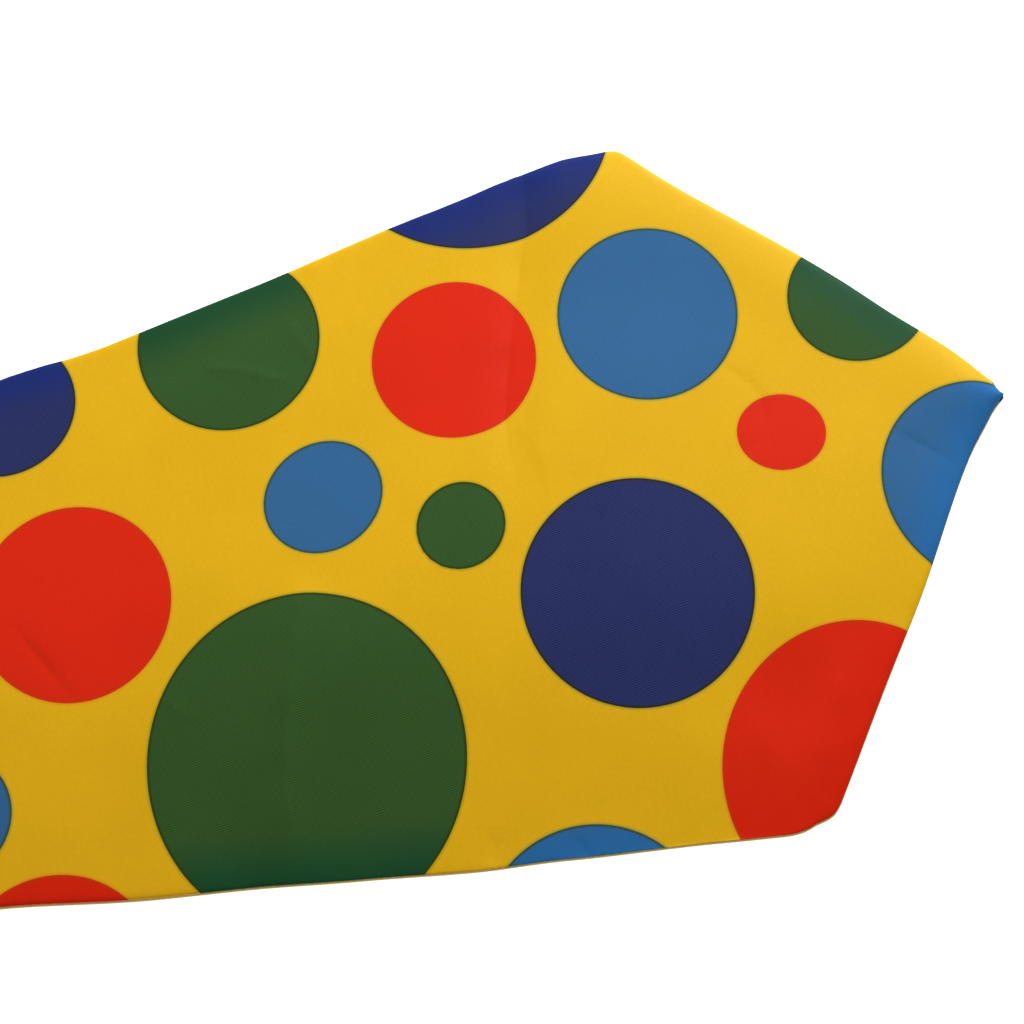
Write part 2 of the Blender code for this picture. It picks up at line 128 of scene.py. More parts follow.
# Broad swells of the laid cloth: the middle, the half length and half width where they have faded to a third,
# the turn of the length from +X in degrees, and the height.
Swell = namedtuple("Swell", "across along long short turn height")
SWELLS = [
    Swell(-0.092, 0.150, 0.150, 0.034, 81, -0.0012),
    Swell(-0.022, 0.200, 0.085, 0.030, 84, 0.0010),
    Swell(-0.035, 0.075, 0.050, 0.026, 100, 0.0008),
    Swell(0.042, 0.140, 0.060, 0.026, 98, -0.0008),
    Swell(0.088, 0.095, 0.045, 0.020, 50, 0.0009),
    Swell(-0.0585, 0.088, 0.024, 0.014, 64, -0.0008),
    Swell(-0.072, 0.067, 0.026, 0.009, 152, 0.0006),
    Swell(0.046, 0.043, 0.055, 0.015, 40, 0.0012),
    Swell(-0.095, 0.100, 0.032, 0.014, 82, -0.0004),
    Swell(0.008, 0.026, 0.030, 0.018, 20, -0.0006),
    Swell(0.026, 0.345, 0.060, 0.026, 100, 0.0009),
    Swell(-0.022, 0.418, 0.050, 0.018, 80, -0.0006),
]

# Creases, sharper than the folds: the path as (across, along) in mm, the height, how fast it falls away on
# its left and on its right, seen along the path, and the share of the path where it is deepest.
Crease = namedtuple("Crease", "path height left right peak")
CREASES = [
    # The valley across the blade from the right corner, with a steep wall towards the point.
    Crease([(112, 104), (93, 107.5), (86, 108.7), (79, 110), (71, 114), (60, 118), (49, 122.5), (38, 126),
            (26, 130), (19, 131), (10, 132), (2, 133)], -0.00038, 0.0013, 0.0042, 0.5),
    Crease([(26, 128), (17, 124), (8, 123), (0, 125), (-6, 129)], 0.00018, 0.0050, 0.0018, 0.45),
    # The ridge over the big green dot.
    Crease([(-6, 191), (-16, 194.5), (-29.5, 199.4), (-44, 203.5), (-58, 206.5), (-74, 210)],
           0.00046, 0.0013, 0.0030, 0.6),
    # A crescent dent in the middle, and the short crease over the point.
    Crease([(32.5, 76), (23.3, 68.5), (15.7, 63), (7.7, 64), (2.5, 67.2), (-0.5, 74.3), (-11.2, 80.2),
            (-20.8, 86.3)], -0.00013, 0.0016, 0.0030, 0.3),
    Crease([(-1, 33), (-4, 31), (-10.7, 24.8), (-17.2, 18.6)], -0.00016, 0.0012, 0.0028, 0.5),
    # Small ones in the dots on the right.
    Crease([(60, 208), (58.7, 199.5), (55.3, 192), (48.3, 180)], 0.00030, 0.0012, 0.0022, 0.5),
    Crease([(71, 181), (62, 178), (52, 174)], 0.00020, 0.0026, 0.0016, 0.5),
    Crease([(5, 265.5), (-8.7, 259), (-18, 254), (-25, 252)], -0.00026, 0.0014, 0.0024, 0.5),
    Crease([(-24, 233), (-29, 229), (-34, 224)], 0.00012, 0.0014, 0.0022, 0.5),
    # The left corner, which has been pressed over.
    Crease([(-89, 79), (-78, 73.5), (-66, 67.5), (-54, 61)], 0.00026, 0.0036, 0.0034, 0.4),
    Crease([(-93, 99), (-86, 94), (-80, 91), (-74, 92)], -0.00014, 0.0014, 0.0026, 0.4),
    Crease([(-86, 163), (-82, 160), (-76, 161)], -0.00016, 0.0014, 0.0022, 0.3),
    Crease([(-92, 138), (-87, 139), (-82, 142)], -0.00016, 0.0022, 0.0014, 0.3),
    # Beyond these, up to the knot.
    Crease([(58, 262), (44, 268), (30, 270), (18, 276)], -0.00016, 0.0012, 0.0036, 0.4),
    Crease([(64, 291), (48, 296), (28, 301), (4, 303), (-20, 308), (-44, 309), (-60, 313)],
           -0.00034, 0.0036, 0.0014, 0.6),
    Crease([(-58, 282), (-46, 276), (-34, 279)], 0.00014, 0.0012, 0.0026, 0.4),
    Crease([(6, 338), (15, 331), (22, 320), (33, 316)], 0.00012, 0.0014, 0.0030, 0.5),
    Crease([(-48, 340), (-36, 349), (-22, 352)], -0.00014, 0.0012, 0.0030, 0.5),
    Crease([(47, 391), (33, 388), (12, 383), (-10, 380), (-32, 375), (-44, 373)],
           0.00030, 0.0032, 0.0014, 0.4),
    Crease([(38, 352), (27, 361), (21, 372)], -0.00012, 0.0012, 0.0024, 0.5),
    Crease([(-30, 398), (-18, 406), (-12, 418)], 0.00014, 0.0012, 0.0026, 0.5),
]
CREASE_CORE = 0.0004  # how far the bottom of a crease is rounded
CREASE_FADE = 0.8  # the share of the way from an end to the peak in which a crease gets deep
# A crease is a little uneven along its path: by what share, over what length, and the change between creases.
CREASE_WAVERS = [(0.22, 0.0061, 1.7), (0.16, 0.0023, 1.0)]

# Gathers at the knot's mouth: turn is the share of the half width, lean how much that changes over the reach.
Gather = namedtuple("Gather", "turn reach height width lean")
GATHERS = [
    Gather(-0.87, 0.055, -0.0006, 0.050, 0.03),
    Gather(-0.70, 0.090, 0.0005, 0.055, -0.05),
    Gather(-0.52, 0.062, -0.0005, 0.045, 0.02),
    Gather(-0.27, 0.105, -0.0004, 0.040, -0.08),
    Gather(-0.12, 0.058, 0.0004, 0.045, -0.02),
    Gather(0.08, 0.082, -0.0005, 0.040, 0.05),
    Gather(0.24, 0.050, 0.0004, 0.045, 0.03),
    Gather(0.47, 0.098, -0.0006, 0.050, 0.07),
    Gather(0.60, 0.048, 0.0004, 0.040, -0.02),
    Gather(0.78, 0.072, -0.0005, 0.050, 0.04),
    Gather(0.91, 0.044, 0.0004, 0.045, 0.00),
]


def mix(a, b, t):
    return a + (b - a) * t


def ease(t):
    t = np.clip(t, 0.0, 1.0)
    return t * t * (3 - 2 * t)


def headings(path):
    """The direction of a path at each of its points."""
    steps = np.gradient(path, axis=0)
    return steps / np.hypot(*steps.T)[:, None]


def travelled_along(path):
    """How far along a path each of its points is."""
    return np.concatenate([[0], np.cumsum(np.hypot(*np.diff(path, axis=0).T))])


# The blade's shape. Places are (across, along), in arrays.


def corner(side):
    return np.array((side * CORNER_HALF_WIDTH, POINT_LENGTH))


def edge_end(side):
    return np.array((side * NECK_HALF_WIDTH, BLADE_LENGTH))


def point_edge(side, share):
    """Places on the edge from the point to the corner, which bows a little."""
    edge = EDGES[side]
    end = corner(side)
    dx, dy = end / np.hypot(*end)
    bow = edge["bow"] * np.sin(np.pi * share ** (math.log(0.5) / math.log(edge["bow_at"])))
    return np.stack([end[0] * share + side * dy * bow, end[1] * share - side * dx * bow], -1)


def corner_round(side, share):
    """Places on the rounded corner, a curve from one edge to the other."""
    edge = EDGES[side]
    top = corner(side)
    start = point_edge(side, 1 - edge["round_point"] / np.hypot(*top))
    run = edge_end(side) - top
    end = top + run / np.hypot(*run) * edge["round_side"]
    t = np.asarray(share)[..., None]
    return (1 - t) ** 2 * start + 2 * t * (1 - t) * top + t**2 * end


def outset(places, side, distance):
    """An edge moved outwards, by less where the blade is narrower than the move."""
    dx, dy = headings(places).T
    reach = np.clip(distance, -np.abs(places[:, 0]) / 2, np.abs(places[:, 0]) / 2)
    return places + side * np.stack([dy, -dx], -1) * reach[:, None]


def wave(side, travelled):
    """How far the edge waves outwards this far from the point, flat at each row of the table."""
    stops, moves = np.array(EDGE_WAVES[side]).T
    k = np.clip(np.searchsorted(stops, travelled, "right") - 1, 0, len(stops) - 2)
    return mix(moves[k], moves[k + 1], ease((travelled - stops[k]) / (stops[k + 1] - stops[k])))


def outline(side, point_steps, corner_steps, side_stretches, head_steps):
    """The edge from just above the point to the end of the head. side_stretches are (reach, steps)."""
    last = 1 - EDGES[side]["round_point"] / np.hypot(*corner(side))
    # The rows are closer together towards the point.
    point = point_edge(side, last * (np.arange(1, point_steps + 1) / point_steps) ** 1.3)
    rounding = corner_round(side, np.arange(1, corner_steps + 1) / corner_steps)
    shares = [0.0]
    for reach, steps in side_stretches:
        shares += list(np.linspace(shares[-1], reach, steps + 1)[1:])
    straight = mix(rounding[-1], edge_end(side), np.array(shares[1:])[:, None])
    head = BLADE_LENGTH + HEAD_LENGTH * np.arange(1, head_steps + 1) / head_steps
    head = np.stack([np.full(head_steps, side * NECK_HALF_WIDTH), head], -1)
    places = np.concatenate([point, rounding, straight, head])
    travelled = travelled_along(np.concatenate([[(0.0, 0.0)], places]))[1:]
    return outset(places, side, wave(side, travelled))


def spine(along):
    """Where a row that starts on the edge at this place meets the middle line, ahead of its ends."""
    rest = np.clip((BLADE_LENGTH - along) / (BLADE_LENGTH - POINT_LENGTH), 0, None)
    return along + SPINE_LEAD * np.where(along < POINT_LENGTH, along / POINT_LENGTH, rest)


# The edges as lines with fewer points, to measure from.
EDGE_LINES = {
    side: np.concatenate([[(0.0, 0.0)], outline(side, 40, 12, [(0.5, 26), (1.0, 9)], 1)]) for side in (-1, 1)
}


def near_line(places, line):
    """How far each place lies from a line, over 0 on its left, and how far along it the nearest spot is."""
    starts, steps = line[:-1], np.diff(line, axis=0)
    lengths = np.hypot(*steps.T)
    offsets = places[:, None, :] - starts
    share = np.clip((offsets * steps).sum(-1) / lengths**2, 0, 1)
    gaps = np.hypot(*np.moveaxis(offsets - steps * share[..., None], -1, 0))
    nearest = gaps.argmin(1)
    picked = np.arange(len(places)), nearest
    (dx, dy), (ox, oy) = steps[nearest].T, offsets[picked].T
    left = dx * oy > dy * ox
    before = np.cumsum(lengths) - lengths
    return np.where(left, 1, -1) * gaps[picked], before[nearest] + lengths[nearest] * share[picked]


def half_width(along):
    return np.interp(along, (0, POINT_LENGTH, BLADE_LENGTH), (0, CORNER_HALF_WIDTH, NECK_HALF_WIDTH))


def gathered(along):
    """0 on the blade, 1 from the knot's mouth on."""
    return ease((along - (BLADE_LENGTH - GATHER_LENGTH)) / GATHER_LENGTH)


def lift(along):
    return LIFT * ease((along - (BLADE_LENGTH - LIFT_LENGTH)) / LIFT_LENGTH)


def oval_reach(oval, across, along):
    """How far out of the middle of a swell or a dot a place is, 1 on its outline."""
    turn = math.radians(oval.turn)
    dx, dy = across - oval.across, along - oval.along
    u = dx * math.cos(turn) + dy * math.sin(turn)
    w = dy * math.cos(turn) - dx * math.sin(turn)
    return np.hypot(u / oval.long, w / oval.short)


def fold_height(across, along):
    """The packing folds' and swells' share of the height."""
    total = np.zeros_like(across)
    for fold in FOLDS:
        (x1, y1), (x2, y2) = fold.start, fold.end
        dx, dy = x2 - x1, y2 - y1
        length = math.hypot(dx, dy)
        share = ((across - x1) * dx + (along - y1) * dy) / length**2
        off = ((across - x1) * dy - (along - y1) * dx) / length
        # It starts just before its first end and fades out just past its second.
        fade = ease((share + 0.05) / 0.15) * ease((1.1 - share) / 0.3)
        total += fold.height * fade * np.exp(-((off / fold.width) ** 2))
    for swell in SWELLS:
        total += swell.height * np.exp(-(oval_reach(swell, across, along) ** 2))
    return total


def crease_height(places, creases):
    """The creases' share of the height. Each fades out at its ends and is a little uneven between them."""
    total = np.zeros(len(places))
    for number, crease in enumerate(creases):
        path = smooth_path(crease)
        gap, travelled = near_line(places, path)
        share = travelled / travelled_along(path)[-1]
        strength = ease(share / crease.peak / CREASE_FADE)
        strength *= ease((1 - share) / (1 - crease.peak) / CREASE_FADE)
        uneven = 1
        for part, run, turn in CREASE_WAVERS:
            uneven = uneven + part * np.sin(travelled / run + number * turn)
        strength *= uneven
        width = np.where(gap > 0, crease.left, crease.right) * (0.7 + 0.3 * strength)
        total += crease.height * strength * np.exp((CREASE_CORE - np.hypot(gap, CREASE_CORE)) / width)
    return total


def smooth_path(crease):
    """A crease's path in metres, with its corners cut twice."""
    points = np.array(crease.path) / 1000
    for _ in range(2):
        near, far = mix(points[:-1], points[1:], 0.25), mix(points[:-1], points[1:], 0.75)
        between = np.stack([near, far], 1).reshape(-1, 2)
        points = np.concatenate([points[:1], between[1:-1], points[-1:]])
    return points


def pucker_height(places):
    """Short ripples that run in from the sewn edges, uneven in length, depth and spacing."""
    total = np.zeros(len(places))
    for side in (-1, 1):
        gap, travelled = near_line(places, EDGE_LINES[side])
        phase = 1.9 * np.sin(travelled / 0.017 + side) + 1.1 * np.sin(travelled / 0.0071)
        phase += travelled / PUCKER_PITCH
        reach = 0.0022 * np.sin(travelled / 0.013 + 2 * side) + 0.0012 * np.sin(travelled / 0.0047)
        reach += PUCKER_REACH
        share = 0.5 + 0.5 * np.sin(travelled / 0.023 + 1.3 * side) * np.sin(travelled / 0.0091)
        total += PUCKER_DEPTH * share * np.sin(phase) * np.exp(-((np.abs(gap) / reach) ** 2))
    return total


def gather_height(places):
    """The fine gathers that fan out of the knot's mouth, between the pleats."""
    across, along = places.T
    turn = across / np.maximum(half_width(along), 0.01)
    total = np.zeros(len(places))
    for gather in GATHERS:
        strength = ease(1 - (BLADE_LENGTH - along) / gather.reach)
        middle = gather.turn + gather.lean * (BLADE_LENGTH - along) / gather.reach
        total += gather.height * strength * np.exp(-(((turn - middle) / gather.width) ** 2))
    return total


def front_height(across, along):
    """The height of the front's outer face over the table."""
    places = np.stack([across, along], -1).reshape(-1, 2)
    sides = [np.maximum(np.abs(near_line(places, EDGE_LINES[side])[0]), 1e-6) for side in (-1, 1)]
    # Near both edges at once the distance is a little less than to the nearer one, so the rolls join softly.
    distance = ((sides[0] ** -4 + sides[1] ** -4) ** -0.25).reshape(np.shape(across))
    pulled = gathered(along)
    roll_share = np.minimum(distance / mix(*ROLL_WIDTH, pulled), 1.0)
    power = mix(*ROLL_POWER, pulled)
    roll = (1 - (1 - roll_share) ** power) ** (1 / power)
    middle_share = np.minimum(distance / np.maximum(half_width(along), 0.01), 1.0)
    crown = 1 - (1 - middle_share) ** 2
    shoulder = mix(*SHOULDER_HEIGHT, pulled)
    centre = mix(*CENTRE_HEIGHT, pulled)
    turn = across / np.maximum(half_width(along), 0.001)
    pleats = -np.cos(3 * np.pi * turn) * np.clip(1 - turn * turn, 0, None) * PLEAT_DEPTH * pulled
    height = FOOT + (shoulder - FOOT) * roll + (centre - shoulder) * crown
    fine = crease_height(places, CREASES) + gather_height(places) + pucker_height(places)
    fine = fine.reshape(np.shape(across))
    return height + lift(along) + pleats + (fold_height(across, along) + fine) * roll


# The print. Dots are on the flat cloth: across and along are the middle, long and short the two radii, and
# turn is the long one's turn from +X in degrees, because cloth stretches a little on the press.
Dot = namedtuple("Dot", "across along long short turn ink")
BLADE_DOTS = [
    Dot(-0.0225, 0.0133, 0.0279, 0.0271, 17, "mid_blue"),
    Dot(0.0363, 0.0292, 0.0201, 0.0185, 124, "green"),
    Dot(0.0035, 0.0611, 0.0116, 0.0106, 83, "red"),
    Dot(-0.0844, 0.0678, 0.0364, 0.0336, 145, "red"),
    Dot(0.0452, 0.0856, 0.0251, 0.0240, 153, "mid_blue"),
    Dot(-0.0286, 0.1092, 0.0302, 0.0296, 148, "navy"),
    Dot(0.1149, 0.1180, 0.0397, 0.0397, 0, "navy"),
    Dot(0.0454, 0.1389, 0.0226, 0.0217, 151, "red"),
    Dot(-0.1102, 0.1422, 0.0287, 0.0282, 135, "mid_blue"),
    Dot(-0.0006, 0.1484, 0.0120, 0.0112, 138, "green"),
    Dot(0.0160, 0.1809, 0.0161, 0.0146, 125, "mid_blue"),
    Dot(0.0657, 0.1958, 0.0258, 0.0242, 165, "green"),
    Dot(-0.0494, 0.1996, 0.0418, 0.0393, 164, "green"),
    Dot(0.0038, 0.2483, 0.0258, 0.0247, 178, "red"),
    Dot(0.0622, 0.2575, 0.0200, 0.0194, 178, "navy"),
    Dot(-0.0863, 0.2695, 0.0250, 0.0250, 0, "red"),
    Dot(-0.0413, 0.2876, 0.0155, 0.0155, 0, "mid_blue"),
    Dot(0.0120, 0.2985, 0.0165, 0.0158, 160, "green"),
    Dot(0.0560, 0.3120, 0.0235, 0.0225, 150, "red"),
    Dot(-0.0240, 0.3370, 0.0255, 0.0243, 160, "navy"),
    Dot(-0.0660, 0.3340, 0.0120, 0.0115, 140, "green"),
    Dot(0.0230, 0.3490, 0.0135, 0.0128, 150, "mid_blue"),
    Dot(0.0480, 0.3660, 0.0125, 0.0120, 135, "navy"),
    Dot(-0.0500, 0.3760, 0.0165, 0.0158, 150, "red"),
    Dot(0.0040, 0.3930, 0.0260, 0.0248, 165, "green"),
    Dot(0.0440, 0.4020, 0.0115, 0.0110, 150, "red"),
    Dot(-0.0380, 0.4170, 0.0150, 0.0143, 140, "mid_blue"),
    Dot(0.0180, 0.4400, 0.0190, 0.0182, 160, "navy"),
    Dot(-0.0140, 0.4620, 0.0145, 0.0138, 150, "red"),
    Dot(0.0330, 0.4790, 0.0150, 0.0144, 140, "mid_blue"),
    Dot(-0.0330, 0.4920, 0.0140, 0.0134, 160, "navy"),
    Dot(0.0030, 0.4990, 0.0170, 0.0162, 155, "green"),
    Dot(-0.0180, 0.5330, 0.0130, 0.0125, 140, "red"),
    Dot(0.0210, 0.5350, 0.0140, 0.0135, 150, "navy"),
]

# Each ink's colour away from the edges, paler and greyer with painted sheen, and its colour near the edges,
# the dark line where it prints over the ground at its edge, the bleed outside it, and how much the pale yarns
# and painted sheen show in it on the ribs.
Ink = namedtuple("Ink", "rubbed fresh line bleed threads")
INKS = {
    "red": Ink("CE2207", "CC1F05", "BC2E08", "D78C14", 0.15),
    "green": Ink("2F4E23", "164325", "2E3602", "AA921E", 1.0),
    "navy": Ink("252B57", "162665", "28240F", "A58E2C", 1.0),
    "mid_blue": Ink("2E5C86", "256197", "33462F", "A9952E", 0.3),
}
GROUND = "D4A210"
# Painted sheen with the pale yarns on the ribs, and painted shade between them.
PALE_YARN_AND_SHEEN = (0.036, 0.036, 0.038, 1)
PAINTED_SHADE_BETWEEN_RIBS = (0.015, 0.015, 0.016, 1)

# Dots on the knot's cloth: across is the distance round it from the top's middle, along from its mouth.
KNOT_DOTS = [
    Dot(-0.0140, 0.0220, 0.0170, 0.0164, 20, "red"),
    Dot(0.0230, 0.0460, 0.0150, 0.0145, 100, "mid_blue"),
    Dot(-0.0080, 0.0580, 0.0105, 0.0100, 0, "green"),
    Dot(0.0270, 0.0130, 0.0115, 0.0110, 60, "navy"),
    Dot(-0.0400, 0.0480, 0.0160, 0.0152, 30, "navy"),
    Dot(-0.0510, 0.0110, 0.0150, 0.0145, 120, "mid_blue"),
    Dot(0.0570, 0.0330, 0.0170, 0.0162, 150, "green"),
    Dot(0.0700, 0.0680, 0.0120, 0.0120, 0, "red"),
    Dot(-0.0720, 0.0560, 0.0130, 0.0130, 0, "red"),
]


def linear(colour):
    """A linear RGBA colour from an sRGB hex value."""
    parts = (int(colour[i : i + 2], 16) / 255 for i in (0, 2, 4))
    return (*(p / 12.92 if p <= 0.04045 else ((p + 0.055) / 1.055) ** 2.4 for p in parts), 1.0)


def set_inputs(tree, node, inputs):
    """Gives a node's sockets, by name or number, a value or a socket to read."""
    for name, value in dict(inputs).items():
        if isinstance(value, bpy.types.NodeSocket):
            tree.links.new(value, node.inputs[name])
        else:
            node.inputs[name].default_value = value


def add(tree, kind, inputs=(), **properties):
    """Adds a node, with its inputs and properties."""
    node = tree.nodes.new(kind)
    for name, value in properties.items():
        setattr(node, name, value)
    set_inputs(tree, node, inputs)
    return node


def new_material(name):
    material = bpy.data.materials.new(name)
    material.use_nodes = True
    return material, material.node_tree


def finish_material(material, tree, colour, bump, roughness, specular=0.5, sheen=0.0):
    """Sets what the shader reads. bump is its height, strength and distance."""
    bump = add(tree, "ShaderNodeBump", dict(zip(("Height", "Strength", "Distance"), bump))).outputs["Normal"]
    inputs = {"Base Color": colour, "Normal": bump, "Roughness": roughness}
    inputs |= {"Specular IOR Level": specular, "Sheen Weight": sheen}
    set_inputs(tree, tree.nodes["Principled BSDF"], inputs)
    return material


RIB_SPACING = 0.00058
RIB_TURN = -5  # degrees, from the cloth's length
YARN_SPACING = 0.00031  # the yarns that cross the ribs


def bands(spacing):
    """The Wave texture's scale for stripes this far apart."""
    return math.pi / (10 * spacing)


def stored(tree, name, output):
    """An attribute kept on the mesh."""
    return add(tree, "ShaderNodeAttribute", attribute_name=name).outputs[output]


def noise(tree, places, scale, detail):
    inputs = {"Vector": places, "Scale": scale, "Detail": detail}
    return add(tree, "ShaderNodeTexNoise", inputs).outputs["Fac"]


def steps_between(tree, value, low, high, **outputs):
    """A soft step of a value from low to high."""
    inputs = {"Value": value, "From Min": low, "From Max": high}
    inputs |= {name.replace("_", " ").title(): number for name, number in outputs.items()}
    return add(tree, "ShaderNodeMapRange", inputs, interpolation_type="SMOOTHSTEP").outputs["Result"]


def stripes(tree, places, spacing, turn):
    """Ribs or yarns of this spacing, turned from the places' second axis."""
    turned = add(tree, "ShaderNodeMapping", {"Vector": places, "Rotation": (0, 0, math.radians(turn))})
    inputs = {"Vector": turned.outputs["Vector"], "Scale": bands(spacing)}
    return add(tree, "ShaderNodeTexWave", inputs).outputs["Fac"]


def blend(tree, share, one, other, kind="MIX"):
    # By number, because the Mix node has sockets of the same names for numbers, vectors and colours.
    inputs = {0: share, 6: one, 7: other}
    return add(tree, "ShaderNodeMix", inputs, data_type="RGBA", blend_type=kind).outputs[2]


def tint(tree, colour, pattern, low, high, other, share=1.0):
    """Lets another colour come in, up to a share, as a pattern goes from low to high."""
    return blend(tree, steps_between(tree, pattern, low, high, to_max=share), colour, linear(other))


def product(tree, one, other):
    return add(tree, "ShaderNodeMath", {0: one, 1: other}, operation="MULTIPLY").outputs["Value"]


def printed_twill():
    """Polyester gabardine, a fine steep twill with a soft sheen, printed with spot inks."""
    material, tree = new_material("printed_twill")
    edge, threads, rubbed = (stored(tree, name, "Fac") for name in ("dot_edge", "threads", "rubbed"))
    bleed, line, fresh, inner_ink = (
        stored(tree, name, "Color") for name in ("dot_bleed", "dot_line", "dot_fresh", "dot_rubbed")
    )
    # Near the edges the darker ink, further in the paler, greyer one, which paints in sheen.
    ink = blend(tree, rubbed, fresh, inner_ink)
    colour = linear(GROUND)
    # Inwards, in mm outside the dot: from the ground to the bleed, to the dark line and to the ink.
    for layer, start, end in ((bleed, 0.95, 0.15), (line, 0.22, -0.05), (ink, -0.12, -0.85)):
        colour = blend(tree, steps_between(tree, edge, start, end), colour, layer)
    cloth = add(tree, "ShaderNodeUVMap", uv_map="cloth").outputs["UV"]
    ribs = stripes(tree, cloth, RIB_SPACING, RIB_TURN)
    crossing = stripes(tree, cloth, YARN_SPACING, 90 + RIB_TURN)
    # In patches the print has worn off the ribs, where pale yarns show, with painted sheen on the ribs
    # and painted shade between them.
    patches = noise(tree, cloth, 290.0, 3.0)
    patches = steps_between(tree, patches, 0.45, 0.62, to_min=0.12)
    wear_sheen_and_shade = product(tree, product(tree, threads, rubbed), patches)
    wear_sheen_and_shade = product(tree, wear_sheen_and_shade, steps_between(tree, edge, -0.3, -1.2))
    yarns = product(tree, ribs, steps_between(tree, crossing, 0.0, 1.0, to_min=0.6))
    yarn_and_sheen_on_ribs = product(tree, wear_sheen_and_shade, yarns)
    colour = blend(tree, wear_sheen_and_shade, colour, PAINTED_SHADE_BETWEEN_RIBS, "SUBTRACT")
    colour = blend(tree, yarn_and_sheen_on_ribs, colour, PALE_YARN_AND_SHEEN, "ADD")
    clouds, grain = noise(tree, cloth, 38.0, 5.0), noise(tree, cloth, 900.0, 2.0)
    for pattern, low in ((clouds, 0.955), (grain, 0.965), (ribs, 0.985)):
        shade = dict.fromkeys(("Red", "Green", "Blue"), steps_between(tree, pattern, 0.3, 0.7, to_min=low))
        shade = add(tree, "ShaderNodeCombineColor", shade).outputs["Color"]
        colour = blend(tree, 1.0, colour, shade, "MULTIPLY")
    # Small specks of lint.
    flecks = add(tree, "ShaderNodeTexVoronoi", {"Vector": cloth, "Scale": 24.0}).outputs["Distance"]
    colour = tint(tree, colour, flecks, 0.016, 0.006, "5A3A10", 0.6)
    roughness = steps_between(tree, clouds, 0.3, 0.7, to_min=0.50, to_max=0.60)
    bump = (blend(tree, 0.3, ribs, crossing), 0.15, 0.00006)
    return finish_material(material, tree, colour, bump, roughness, specular=0.06)


def plain_taffeta():
    """Plain-woven polyester taffeta in pale yellow, thin and a little crisp."""
    material, tree = new_material("plain_taffeta")
    cloth = add(tree, "ShaderNodeUVMap", uv_map="cloth").outputs["UV"]
    warp, weft = stripes(tree, cloth, 0.00026, 0), stripes(tree, cloth, 0.00034, 90)
    weave = product(tree, warp, weft)
    slubs = add(tree, "ShaderNodeMapping", {"Vector": cloth, "Scale": (60.0, 900.0, 1.0)}).outputs["Vector"]
    slubs, clouds = noise(tree, slubs, 1.0, 3.0), noise(tree, cloth, 25.0, 4.0)
    colour = tint(tree, linear("EBD98F"), slubs, 0.35, 0.7, "DFCB7C")
    colour = tint(tree, colour, clouds, 0.3, 0.7, "D3BD69", 0.3)
    # Darker between the yarns: painted shade.
    painted_shade_between_yarns = steps_between(tree, weave, 0.0, 0.25, to_min=0.25, to_max=0.0)
    colour = blend(tree, painted_shade_between_yarns, colour, linear("B79F4C"))
    return finish_material(material, tree, colour, (weave, 0.3, 0.00005), 0.42, specular=0.3, sheen=0.1)


def braided_elastic():
    """White braided polyester elastic: lengthwise ribs crossed by slanting yarns, soft and a little dull."""
    material, tree = new_material("braided_elastic")
    cloth = add(tree, "ShaderNodeUVMap", uv_map="cloth").outputs["UV"]
    one, other = stripes(tree, cloth, 0.00062, 62), stripes(tree, cloth, 0.00062, -62)
    braid = add(tree, "ShaderNodeMath", {0: one, 1: other}, operation="MAXIMUM").outputs["Value"]
    fuzz, clouds = noise(tree, cloth, 2600.0, 3.0), noise(tree, cloth, 70.0, 3.0)
    # Grey between the braid's yarns and white on them: painted shade in the grooves.
    colour = tint(tree, linear("B9B7B0"), braid, 0.35, 0.9, "E4E3DE")
    colour = tint(tree, colour, fuzz, 0.4, 0.7, "F2F1EE", 0.25)
    colour = tint(tree, colour, clouds, 0.35, 0.7, "D2CFC4", 0.35)
    bump = (blend(tree, 0.25, braid, fuzz), 0.5, 0.00012)
    return finish_material(material, tree, colour, bump, 0.75, specular=0.25, sheen=0.2)


def spun_thread():
    """Yellow spun polyester sewing thread, two plies twisted together."""
    material, tree = new_material("spun_thread")
    stitch = add(tree, "ShaderNodeUVMap", uv_map="thread").outputs["UV"]
    turned = add(tree, "ShaderNodeMapping", {"Vector": stitch, "Scale": (2.0, 6.0, 1.0)}).outputs["Vector"]
    plies = add(tree, "ShaderNodeTexWave", {"Vector": turned, "Scale": 0.55}, bands_direction="DIAGONAL")
    plies = plies.outputs["Fac"]
    fuzz = noise(tree, add(tree, "ShaderNodeTexCoord").outputs["Object"], 5200.0, 2.0)
    # Dark between the plies and light on them: painted shade in the twist's grooves.
    colour = tint(tree, linear("9C7A0C"), plies, 0.1, 0.7, "D9B32A")
    colour = tint(tree, colour, fuzz, 0.45, 0.7, "EBCB55", 0.4)
    bump = (blend(tree, 0.3, plies, fuzz), 0.6, 0.00006)
    return finish_material(material, tree, colour, bump, 0.6, sheen=0.2)


def white_paper():
    """Background paper, white and lit from below, so that hardly a shadow shows on it."""
    material, tree = new_material("white_paper")
    fibres = noise(tree, add(tree, "ShaderNodeTexCoord").outputs["Object"], 700.0, 4.0)
    dark, pale = (0.38, 0.38, 0.38, 1), (0.42, 0.42, 0.42, 1)
    colour = blend(tree, steps_between(tree, fibres, 0.35, 0.65), dark, pale)
    light = {"Emission Color": (1, 1, 1, 1), "Emission Strength": 0.93}
    set_inputs(tree, tree.nodes["Principled BSDF"], light)
    return finish_material(material, tree, colour, (fibres, 0.1, 0.00005), 0.9, specular=0.0)


